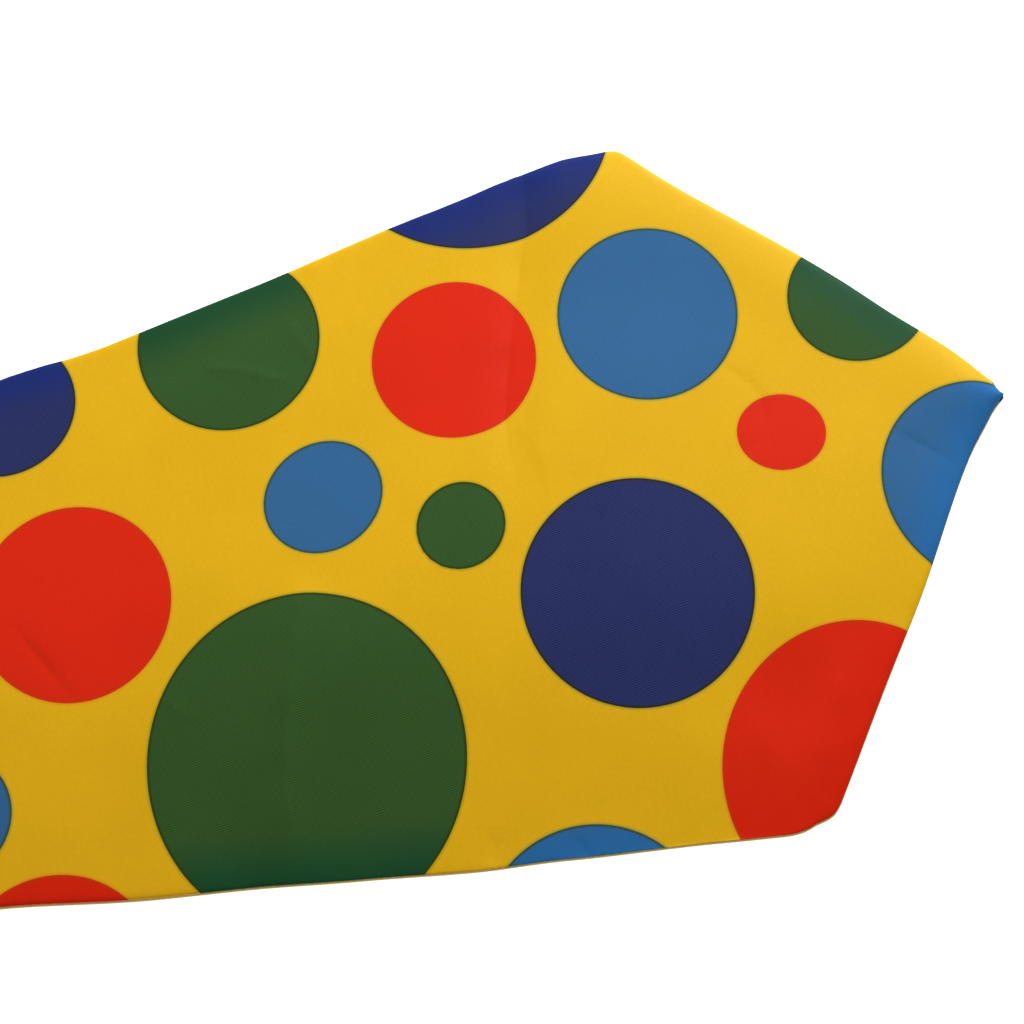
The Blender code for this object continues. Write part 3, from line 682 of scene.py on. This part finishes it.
def print_dots(mesh, dots, across, along, rubbed):
    """Stores how far each point is outside its nearest dot, in mm, the dot's ink, and the share of the paler
    inner inks, which paint in sheen.
    """
    nearest = np.full(across.shape, np.inf)
    layers = ("rubbed", "fresh", "line", "bleed")
    colours = np.zeros((len(layers), *across.shape, 4))
    threads = np.zeros(across.shape)
    for dot in dots:
        reach = np.maximum(oval_reach(dot, across, along), 1e-3)
        outside = np.hypot(across - dot.across, along - dot.along) * (1 - 1 / reach)
        closer = outside < nearest
        nearest = np.where(closer, outside, nearest)
        ink = INKS[dot.ink]
        threads[closer] = ink.threads
        for layer, name in zip(colours, layers):
            layer[closer] = linear(getattr(ink, name))
    for name, values in (("dot_edge", nearest * 1000), ("threads", threads), ("rubbed", rubbed)):
        data = mesh.attributes.new(name, "FLOAT", "POINT").data
        data.foreach_set("value", np.broadcast_to(values, across.shape))
    for name, layer in zip(layers, colours):
        data = mesh.color_attributes.new("dot_" + name, "FLOAT_COLOR", "POINT").data
        data.foreach_set("color", layer.ravel())


def grid_faces(rows, columns, closed=False):
    """Four-sided faces over rows of points, facing up where the points run to +X and the rows to +Y. A closed
    row's end joins its start."""
    faces = []
    for row in range(0, (rows - 1) * columns, columns):
        for here in range(columns if closed else columns - 1):
            after = (here + 1) % columns
            faces.append((row + here, row + after, row + columns + after, row + columns + here))
    return faces


def new_object(name, data):
    piece = bpy.data.objects.new(name, data)
    bpy.context.scene.collection.objects.link(piece)
    return piece


def new_cloth(name, points, faces, flat, material):
    """Makes an object of cloth. flat is each point's place on the flat cloth, in metres, kept as a UV map."""
    mesh = bpy.data.meshes.new(name)
    mesh.from_pydata(points.tolist(), [], faces)
    corners = np.zeros(len(mesh.loops), int)
    mesh.loops.foreach_get("vertex_index", corners)
    mesh.uv_layers.new(name="cloth").data.foreach_set("uv", flat[corners].ravel())
    mesh.shade_smooth()
    mesh.materials.append(MATERIALS[material])
    return new_object(name, mesh)


def give_thickness(piece):
    wall = piece.modifiers.new("Wall", "SOLIDIFY")
    wall.thickness = CLOTH
    wall.offset = -1.0
    bpy.ops.object.select_all(action="DESELECT")
    bpy.context.view_layer.objects.active = piece
    bpy.ops.object.modifier_apply(modifier=wall.name)


# Shares of a row from the edge to the middle line, closer together where the edge rolls down.
ROLL_SHARE = 0.09
ROLL_COLUMNS = np.linspace(0, 1, 16) ** 1.6 * ROLL_SHARE
COLUMNS = np.concatenate([ROLL_COLUMNS, np.linspace(ROLL_SHARE, 1, 34)[1:]])
BACK_COLUMNS = np.linspace(0, 1, 13)[1:]
# Rows along the edges. Each stretch of the side says how far along it the stretch ends, and its rows.
POINT_STEPS = 64
CORNER_STEPS = 20
SIDE_STRETCHES = [(0.06, 24), (0.15, 24), (0.50, 90), (0.72, 34), (1.0, 56)]
HEAD_STEPS = 14
INNER_FROM = 0.0155  # how far inside the edges the inks are fully the paler inner ones, with painted sheen
SPLIT_REACH = 0.0023  # how close to a crease the front's faces are split

# The turned edges, from the inside out: each line's distance outside the front's edge, and its height.
FRONT_HEM = [(-0.0012, 0.00160), (-0.0004, 0.00162), (-0.00010, 0.0018), (-0.00002, 0.0022)]
BACK_HEM = [
    (-0.0012, 0.0013), (-0.0002, 0.00128), (0.0002, 0.00115), (BACK_SHOWS, 0.0008), (0.00028, 0.00045),
    (-0.0002, 0.00012), (-0.0012, 0.0),
]


def blade_rows():
    """Where each row of the blade's cloths starts, crosses the middle line and ends."""
    left, right = (outline(side, POINT_STEPS, CORNER_STEPS, SIDE_STRETCHES, HEAD_STEPS) for side in (-1, 1))
    return left, np.stack([np.zeros(len(left)), spine((left[:, 1] + right[:, 1]) / 2)], -1), right


def placed(places, heights):
    """Points of the frame over places on the blade."""
    return np.stack([places[..., 0], POINT_Y + places[..., 1], heights], -1)


def hem_points(edge, side, hem):
    """The lines of a turned edge, in the order of its table."""
    lines = []
    for distance, height in hem:
        moved = outset(edge, side, distance)
        lines.append(placed(moved, height + lift(moved[:, 1])))
    return np.stack(lines, 1)


def point_end(first, columns, hem):
    """A turned edge's ends at the blade's point, numbered from first, and the faces from the first row to
    them."""
    places = np.array([(0.0, POINT_Y - max(1.3 * distance, -0.0003), height) for distance, height in hem])
    ends = [first + min(c, columns - 1 - c, len(hem) - 1) for c in range(columns)]
    faces = [tuple(dict.fromkeys((ends[c], ends[c + 1], c + 1, c))) for c in range(columns - 1)]
    return places, faces


def split_faces(points, faces, chosen):
    """Splits the chosen faces in three each way. The new points come after the others."""
    bm = bmesh.new()
    verts = [bm.verts.new(point) for point in points]
    made = [bm.faces.new([verts[i] for i in face]) for face in faces]
    edges = dict.fromkeys(edge for face, pick in zip(made, chosen) if pick for edge in face.edges)
    bmesh.ops.subdivide_edges(bm, edges=list(edges), cuts=2, use_grid_fill=True)
    bm.verts.index_update()
    points = np.array([vert.co for vert in bm.verts])
    faces = [tuple(vert.index for vert in face.verts) for face in bm.faces]
    bm.free()
    return points, faces


def beside_creases(places):
    gaps = [np.abs(near_line(places, smooth_path(crease))[0]) for crease in CREASES]
    return np.min(gaps, 0) < SPLIT_REACH


def blade_front():
    """The printed front: rows from edge to edge, rolled down at both edges and tucked into the seam."""
    left, middle, right = blade_rows()
    from_left = mix(left[:, None], middle[:, None], COLUMNS[None, :, None])
    from_right = mix(right[:, None], middle[:, None], COLUMNS[None, ::-1, None])
    places = np.concatenate([from_left, from_right[:, 1:]], 1)
    top = placed(places, front_height(*np.moveaxis(places, -1, 0)))
    top[:, (0, -1), 2] = FOOT + lift(places[:, (0, -1), 1])
    hems, unrolled = [], []
    for edge, side in ((left, -1), (right, 1)):
        hems.append(hem_points(edge, side, FRONT_HEM))
        # On the flat cloth the hem goes on past the edge that it is turned at.
        unrolled.append(np.stack([outset(edge, side, -distance) for distance, _ in FRONT_HEM], 1))
    points = np.concatenate([hems[0], top, hems[1][:, ::-1]], 1)
    flat = np.concatenate([unrolled[0], places, unrolled[1][:, ::-1]], 1)
    rows, columns = points.shape[:2]
    faces = grid_faces(rows, columns)
    middles = flat.reshape(-1, 2)[np.array(faces)].mean(1)
    column, hem = np.arange(columns - 1), len(FRONT_HEM)
    inside = np.tile((column > hem) & (column < columns - 2 - hem), rows - 1)
    chosen = list(inside & beside_creases(middles))
    tip, closing = point_end(rows * columns, columns, FRONT_HEM + [(0.0, FOOT)])
    chosen += [False] * len(closing)
    points, faces = split_faces(np.concatenate([points.reshape(-1, 3), tip]), faces + closing, chosen)
    added = points[rows * columns + len(tip) :]
    added[:, 2] = front_height(added[:, 0], added[:, 1] - POINT_Y)
    flat = np.concatenate([flat.reshape(-1, 2), np.zeros((len(tip), 2)), added[:, :2] - (0.0, POINT_Y)])
    piece = new_cloth("blade_front_cloth", points, faces, flat, "printed_twill")
    inwards = np.min([np.abs(near_line(flat, EDGE_LINES[side])[0]) for side in (-1, 1)], 0)
    print_dots(piece.data, BLADE_DOTS, flat[:, 0], flat[:, 1], ease(inwards / INNER_FROM))
    give_thickness(piece)
    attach(piece, "root")
    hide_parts("blade_front")


def blade_back():
    """The plain back: flat on the table, its edges turned up and in to meet the front's."""
    left, middle, right = blade_rows()
    hems, insides = [], []
    for edge, side in ((left, -1), (right, 1)):
        hems.append(hem_points(edge, side, BACK_HEM))
        start = outset(edge, side, BACK_HEM[-1][0])
        inside = mix(start[:, None], middle[:, None], BACK_COLUMNS[None, :, None])
        insides.append(placed(inside, lift(inside[..., 1])))
    # The columns run from +X to -X here, so that the faces of the underside point down.
    points = np.concatenate([hems[1], insides[1], insides[0][:, -2::-1], hems[0][:, ::-1]], 1)
    rows, columns = points.shape[:2]
    tip, closing = point_end(rows * columns, columns, BACK_HEM)
    faces = grid_faces(rows, columns) + closing
    points = np.concatenate([points.reshape(-1, 3), tip])
    flat = points[:, :2] - (0.0, POINT_Y)
    piece = new_cloth("blade_back_cloth", points, faces, flat, "plain_taffeta")
    give_thickness(piece)
    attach(piece, "root")
    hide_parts("blade_back")


# The knot's outside: at is the share of its length from the mouth. The top narrows to a sewn lip.
KnotSection = namedtuple("KnotSection", "at width height crown shoulder heel")
KNOT_SECTIONS = [
    KnotSection(0.00, 0.0596, 0.0164, 0.0012, 0.0075, 0.0022),
    KnotSection(0.18, 0.0632, 0.0202, 0.0018, 0.0098, 0.0024),
    KnotSection(0.36, 0.0668, 0.0222, 0.0022, 0.0110, 0.0026),
    KnotSection(0.54, 0.0704, 0.0230, 0.0022, 0.0115, 0.0026),
    KnotSection(0.70, 0.0736, 0.0220, 0.0020, 0.0108, 0.0026),
    KnotSection(0.82, 0.0758, 0.0172, 0.0014, 0.0082, 0.0026),
    KnotSection(0.90, 0.0764, 0.0104, 0.0006, 0.0048, 0.0025),
    KnotSection(0.955, 0.0758, 0.0058, 0.0001, 0.0027, 0.0025),
    KnotSection(1.00, 0.0752, 0.0051, 0.0000, 0.0025, 0.0025),
]
FLOOR_STEPS = 14
HEEL_STEPS = 8
SHOULDER_STEPS = 16
TOP_STEPS = 20


def knot_section(at):
    """The knot's sizes at a share of its length: a smooth curve through the rows of its table."""
    last = len(KNOT_SECTIONS) - 1
    k = 0
    while k < last - 1 and KNOT_SECTIONS[k + 1].at < at:
        k += 1
    low, high = KNOT_SECTIONS[k], KNOT_SECTIONS[k + 1]
    before, after = KNOT_SECTIONS[max(k - 1, 0)], KNOT_SECTIONS[min(k + 2, last)]
    step = high.at - low.at
    t = (at - low.at) / step
    sizes = []
    for a, b, c, d in zip(before, low, high, after):
        leaving, arriving = (c - a) / (high.at - before.at) * step, (d - b) / (after.at - low.at) * step
        second = 3 * (c - b) - 2 * leaving - arriving
        third = leaving + arriving - 2 * (c - b)
        sizes.append(b + t * (leaving + t * (second + t * third)))
    return KnotSection(*sizes)


def knot_half_ring(size):
    """Half of the knot's outer section, from the middle of its floor round to the middle of its top."""
    half, heel, shoulder = size.width / 2, size.heel, size.shoulder
    edge = size.height - size.crown
    rise = min(shoulder, edge - heel)
    floor = [((half - heel) * t, 0.0) for t in np.linspace(0, 1, FLOOR_STEPS + 1)[:-1]]
    turns = np.linspace(0, math.pi / 2, HEEL_STEPS + 1)
    floor += [(half - heel + heel * math.sin(t), heel - heel * math.cos(t)) for t in turns]
    turns = np.linspace(0, math.pi / 2, SHOULDER_STEPS + 1)[1:]
    side = [(half - shoulder + shoulder * math.cos(t), edge - rise + rise * math.sin(t)) for t in turns]
    shares = np.linspace(1, 0, TOP_STEPS + 1)[1:]
    top = [((half - shoulder) * t, size.height - size.crown * t * t) for t in shares]
    return np.array(floor + side + top)


# Creases of the knot's cloth, in mm: across is the distance round it from the top's middle, along from its
# mouth.
KNOT_CREASES = [
    Crease([(-36, 6), (-26, 14), (-12, 19), (6, 18), (20, 12), (31, 5)], -0.00050, 0.0028, 0.0016, 0.45),
    Crease([(-34, 24), (-20, 31), (-4, 33), (12, 30), (26, 26)], -0.00042, 0.0016, 0.0030, 0.6),
    Crease([(30, 38), (18, 43), (4, 44), (-8, 49)], 0.00040, 0.0020, 0.0034, 0.4),
    Crease([(-30, 45), (-20, 41), (-10, 43)], -0.00034, 0.0018, 0.0026, 0.5),
    Crease([(-24, 62), (-22, 54), (-17, 47), (-15, 40)], -0.00040, 0.0018, 0.0030, 0.3),
    Crease([(-8, 64), (-7, 56), (-3, 50)], -0.00034, 0.0016, 0.0026, 0.3),
    Crease([(9, 64), (9, 57), (12, 49), (13, 43)], -0.00040, 0.0026, 0.0016, 0.3),
    Crease([(25, 63), (24, 55), (20, 48)], -0.00036, 0.0018, 0.0028, 0.3),
    Crease([(-52, 8), (-46, 20), (-45, 34), (-49, 48)], -0.00030, 0.0022, 0.0030, 0.5),
    Crease([(50, 10), (45, 24), (47, 40), (52, 54)], -0.00030, 0.0026, 0.0020, 0.5),
    Crease([(-16, 3), (-14, 8), (-15, 14)], -0.00030, 0.0014, 0.0022, 0.4),
    Crease([(11, 2), (9, 8), (11, 13)], -0.00028, 0.0020, 0.0014, 0.4),
]
LIP_STITCHES = 0.0033  # from the lip to its stitch row
LIP_DEPTH = 0.00036  # how far the stitches pull the cloth in
LIP_HALF_WIDTH = 0.0008
SEAM_DEPTH = 0.0005  # the groove where the cloth's edges meet under the back
SEAM_HALF_WIDTH = 0.0013

# The knot's cloth is turned in at its mouth, and its two lips are folded in at the top. For each row of
# points: how far towards the neck it is from the mouth or the lip, and how deep inside the knot it lies.
MOUTH_HEM = [
    (0.0070, 0.0012), (0.0040, 0.0012), (0.0014, 0.0012), (0.0006, 0.0011), (0.0001, 0.0008),
    (0.0001, 0.0004), (0.0006, 0.0001),
]
LIP_FOLD = [
    (0.0002, 0.0002), (0.0004, 0.0006), (0.0004, 0.0010), (0.0001, 0.0014), (-0.0010, 0.0015),
    (-0.0060, 0.0015),
]
KNOT_ROWS = 90
TACK_HALF_WIDTH = 0.0056  # of the stretch of the lip that each end of the elastic holds open
LIP_CLOSED = 0.42  # how much deeper the folded lips lie beside them
KNOT_INNER = 0.8  # how far its inks are towards the paler inner ones, with painted sheen


def knot_relief(places, height):
    """How far the creases, the lip's stitches and the seam underneath move the knot's cloth outwards."""
    # The creases fade out towards the table, and the seam is on the table only.
    relief = crease_height(places, KNOT_CREASES) * ease(height / 0.004)
    relief -= LIP_DEPTH * np.exp(-(((places[:, 1] - (KNOT_LENGTH - LIP_STITCHES)) / LIP_HALF_WIDTH) ** 2))
    seam = np.abs(np.abs(places[:, 0]) - np.abs(places[:, 0]).max()) / SEAM_HALF_WIDTH
    return relief - SEAM_DEPTH * np.exp(-(seam**2)) * (height < 0.001)


def knot_cloth():
    """The knot: one cloth wrapped round the blade's top, its edges meeting under the middle of the back."""
    rows = [(0.0, *row) for row in MOUTH_HEM]
    rows += [(share, 0.0, 0.0) for share in np.linspace(0.02, 1, KNOT_ROWS)]
    rows += [(1.0, *row) for row in LIP_FOLD]
    points, flat = [], []
    for number, (share, ahead, inside) in enumerate(rows):
        right = knot_half_ring(knot_section(share))
        ring = np.concatenate([right * (-1, 1), right[-2::-1]])
        dx, dy = headings(ring).T
        round_it = travelled_along(ring)
        along = np.full(len(ring), share * KNOT_LENGTH + ahead)
        place = np.stack([round_it - round_it[-1] / 2, along], -1)
        if number >= len(rows) - len(LIP_FOLD):
            # The lip's two sides close together beside the elastic's sewn ends.
            closed = ease((np.abs(np.abs(ring[:, 0]) - BAND_END_X) - TACK_HALF_WIDTH) / 0.004)
            inside = inside * (1 + LIP_CLOSED * closed)
        inside = inside - knot_relief(place, ring[:, 1])
        ring = ring - np.stack([-dy, dx], -1) * inside[:, None]
        points.append(np.stack([ring[:, 0], MOUTH_Y + along, ring[:, 1]], -1))
        flat.append(place)
    faces = grid_faces(len(points), len(ring))
    points, flat = np.concatenate(points), np.concatenate(flat)
    piece = new_cloth("knot_cloth", points, faces, flat, "printed_twill")
    print_dots(piece.data, KNOT_DOTS, flat[:, 0], flat[:, 1], KNOT_INNER)
    give_thickness(piece)
    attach(piece, "root")
    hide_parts("knot")


STITCH_HALF_WIDTH = 0.00019
STITCH_OVER_TABLE = STITCH_HALF_WIDTH + 0.00004
LIP_STITCH = 0.0024
LIP_PITCH = 0.0030
TACK_STITCH = 0.0020
TACK_PITCH = 0.00075
TACK_IN = 0.0017  # from the lip to the bar tacks over the elastic's ends
WHIP_STITCH = 0.0034
WHIP_PITCH = 0.0042
WHIP_TURN = 32  # degrees from straight across the seam
Spot = namedtuple("Spot", "place along up")


def one_stitch(length):
    """A stitch along +X whose ends dip into the cloth."""
    bpy.ops.object.select_all(action="DESELECT")
    bpy.ops.mesh.primitive_uv_sphere_add(segments=8, ring_count=10, radius=1.0, rotation=(0, math.pi / 2, 0))
    stitch = bpy.context.object
    stitch.scale = (STITCH_HALF_WIDTH, STITCH_HALF_WIDTH, length / 2)
    bpy.ops.object.transform_apply(location=True, rotation=True, scale=True)
    bend = stitch.modifiers.new("Bend", "SIMPLE_DEFORM")
    bend.deform_method = "BEND"
    bend.deform_axis = "Y"
    bend.angle = math.radians(70)
    bpy.ops.object.modifier_apply(modifier=bend.name)
    stitch.data.uv_layers[0].name = "thread"
    stitch.data.shade_smooth()
    return stitch


def sew(name, length, spots):
    """Copies one stitch to each spot and joins the copies to one piece."""
    first = one_stitch(length)
    copies = []
    for spot in spots:
        copy = first.copy()
        copy.data = first.data.copy()
        bpy.context.scene.collection.objects.link(copy)
        up = Vector(spot.up).normalized()
        side = up.cross(Vector(spot.along)).normalized()
        turn = Matrix((side.cross(up), side, up)).transposed()
        copy.data.transform(Matrix.Translation(spot.place) @ turn.to_4x4())
        copies.append(copy)
    bpy.data.objects.remove(first, do_unlink=True)
    bpy.ops.object.select_all(action="DESELECT")
    for copy in copies:
        copy.select_set(True)
    bpy.context.view_layer.objects.active = copies[0]
    bpy.ops.object.join()
    piece = bpy.context.object
    piece.name = piece.data.name = name
    piece.matrix_world = Matrix.Identity(4)
    piece.data.materials.append(MATERIALS["spun_thread"])
    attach(piece, "root")


def knot_top(across, from_lip):
    """A place on the knot's top near its lip, and the direction out of the cloth there."""
    step = 0.0004
    near, far = (knot_section(1 - (from_lip + d) / KNOT_LENGTH) for d in (step, -step))
    edge = across / (near.width / 2 - near.shoulder)
    high = (near.height + far.height) / 2 - near.crown * edge * edge
    return (across, KNOT_TOP_Y - from_lip, high), (0, (near.height - far.height) / (2 * step), 1)


def knot_sewing():
    """The lip's lockstitch on both faces, the bar tacks over the elastic, and the back's whip stitches."""
    row, tacks = [], []
    for i in range(-11, 12):
        place, up = knot_top(i * LIP_PITCH, LIP_STITCHES)
        row.append(Spot(Vector(place) - Vector((0, 0, LIP_DEPTH)), (1, 0, 0), up))
        row.append(Spot((place[0], place[1], STITCH_OVER_TABLE), (1, 0, 0), (0, 0, -1)))
    sew("lip_stitches", LIP_STITCH, row)
    for middle in (-BAND_END_X, BAND_END_X):
        for i in range(-7, 8):
            place, up = knot_top(middle + i * TACK_PITCH, TACK_IN)
            tacks.append(Spot(place, (0.25 * (-1) ** i, 1, 0), up))
    sew("bar_tacks", TACK_STITCH, tacks)
    turn = math.radians(WHIP_TURN)
    slant = (math.cos(turn), math.sin(turn), 0)
    seam = np.arange(MOUTH_Y + 0.005, KNOT_TOP_Y - 0.007, WHIP_PITCH)
    whips = [Spot((0, y, STITCH_OVER_TABLE), slant, (0, 0, -1)) for y in seam]
    sew("back_whip_stitches", WHIP_STITCH, whips)


def bezier(points, t):
    parts = ((1 - t) ** 3, 3 * t * (1 - t) ** 2, 3 * t * t * (1 - t), t**3)
    return tuple(sum(p * q[i] for p, q in zip(parts, points)) for i in (0, 1))


def band_route():
    """The band's middle line from its right end to its left end, seen from above."""
    start = (BAND_END_X, KNOT_TOP_Y)
    widest = (LOOP_HALF_WIDTH, KNOT_TOP_Y + LOOP_WIDEST)
    far = (0.0, KNOT_TOP_Y + LOOP_REACH - BAND_THICKNESS / 2)
    up = [start, (start[0], start[1] + 0.034), (widest[0], widest[1] - 0.040), widest]
    over = [widest, (widest[0], widest[1] + 0.036), (0.032, far[1]), far]
    half = [(BAND_END_X, KNOT_TOP_Y - BAND_TUCK), (BAND_END_X, KNOT_TOP_Y - BAND_TUCK / 2)]
    fine = 200
    half += [bezier(up, i / fine) for i in range(fine)]
    half += [bezier(over, i / fine) for i in range(fine + 1)]
    return np.array(half + [(-x, y) for x, y in reversed(half[:-1])])


BAND_STEPS = 620
BAND_RIBS = 9
RIB_STEPS = 4
RIB_HEIGHT = 0.00011
BAND_ROUND = 0.00015  # how far its edges are rounded


def band_section():
    """The elastic's section, with ribs on both faces: places across its width and through its thickness."""
    steps = BAND_RIBS * RIB_STEPS
    across = np.linspace(-0.5, 0.5, steps + 1) * (BAND_WIDTH - 2 * BAND_ROUND)
    ribs = np.abs(np.sin(np.pi * np.arange(steps + 1) / RIB_STEPS))
    upper = np.stack([across, BAND_THICKNESS / 2 - RIB_HEIGHT * (1 - ribs)], -1)
    edge = np.array([(BAND_WIDTH / 2, 0.0002), (BAND_WIDTH / 2, -0.0002)])
    return np.concatenate([upper, edge, upper[::-1] * (1, -1), -edge])


def neck_band():
    """The flat elastic: it leaves the knot flat, turns on its edge and stands on the table as a loop."""
    route = band_route()
    travelled = travelled_along(route)
    length = travelled[-1]
    distance = np.linspace(0, length, BAND_STEPS + 1)
    middle = np.stack([np.interp(distance, travelled, route[:, i]) for i in (0, 1)], -1)
    dx, dy = headings(middle).T
    sewn = np.minimum(distance, length - distance) - BAND_TUCK
    turn = math.pi / 2 * ease(sewn / BAND_TURN)
    foot = (KNOT_WALL + SEAM_GAP) * (1 - ease(sewn / (BAND_TURN / 2)))
    reach = BAND_WIDTH / 2 * np.sin(turn) + BAND_THICKNESS / 2 * np.cos(turn)
    wide = np.stack([dy * np.cos(turn), -dx * np.cos(turn), np.sin(turn)], -1)
    thin = np.stack([-dy * np.sin(turn), dx * np.sin(turn), np.cos(turn)], -1)
    spots = np.stack([middle[:, 0], middle[:, 1], foot + reach], -1)
    section = band_section()
    points = spots[:, None] + wide[:, None] * section[None, :, :1] + thin[:, None] * section[None, :, 1:]
    rows, columns = points.shape[:2]
    faces = grid_faces(rows, columns, closed=True)
    faces += [tuple(range(columns - 1, -1, -1)), tuple((rows - 1) * columns + c for c in range(columns))]
    flat = np.stack(np.broadcast_arrays(section[None, :, 0], distance[:, None]), -1).reshape(-1, 2)
    piece = new_cloth("neck_elastic", points.reshape(-1, 3), faces, flat, "braided_elastic")
    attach(piece, "root")
    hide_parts("neck_band")


def softbox(name, size, watts, colour, place, aim):
    light = bpy.data.lights.new(name, "AREA")
    light.shape = "RECTANGLE"
    light.size, light.size_y = size
    light.energy = watts
    light.color = colour
    lamp = new_object(name, light)
    lamp.location = place
    lamp.rotation_euler = (Vector(aim) - lamp.location).to_track_quat("-Z", "Y").to_euler()


def studio():
    """White paper, a cool softbox off the point's right, a weaker one over the neck, and a warm fill."""
    bpy.ops.mesh.primitive_plane_add(size=6.0, location=(0, 0, -0.0002))
    floor = bpy.context.object
    floor.name = "floor"
    floor.data.materials.append(white_paper())
    world = bpy.data.worlds.new("studio")
    world.use_nodes = True
    fill = {"Color": (1.06, 0.96, 0.82, 1), "Strength": 0.36}
    set_inputs(world.node_tree, world.node_tree.nodes["Background"], fill)
    bpy.context.scene.world = world
    softbox("key", (0.35, 0.35), 12.0, (0.90, 1.0, 1.12), (0.62, -0.72, 0.45), (0, -0.24, 0))
    softbox("neck_light", (0.5, 0.5), 2.4, (1.0, 1.0, 1.0), (0.42, 0.35, 0.60), (0, 0.15, 0))


def camera():
    data = bpy.data.cameras.new("camera")
    data.lens = 63.28
    data.clip_start = 0.01
    ob = new_object("camera", data)
    ob.location = (-0.14256, -0.20241, 0.44534)
    ob.rotation_euler = (math.radians(90 - 71.5), 0, math.radians(255.5))
    bpy.context.scene.camera = ob


MATERIALS = {make.__name__: make() for make in (printed_twill, plain_taffeta, braided_elastic, spun_thread)}

camera()
blade_front()
blade_back()
knot_cloth()
knot_sewing()
neck_band()
studio()
bpy.context.scene.view_settings.view_transform = "Standard"
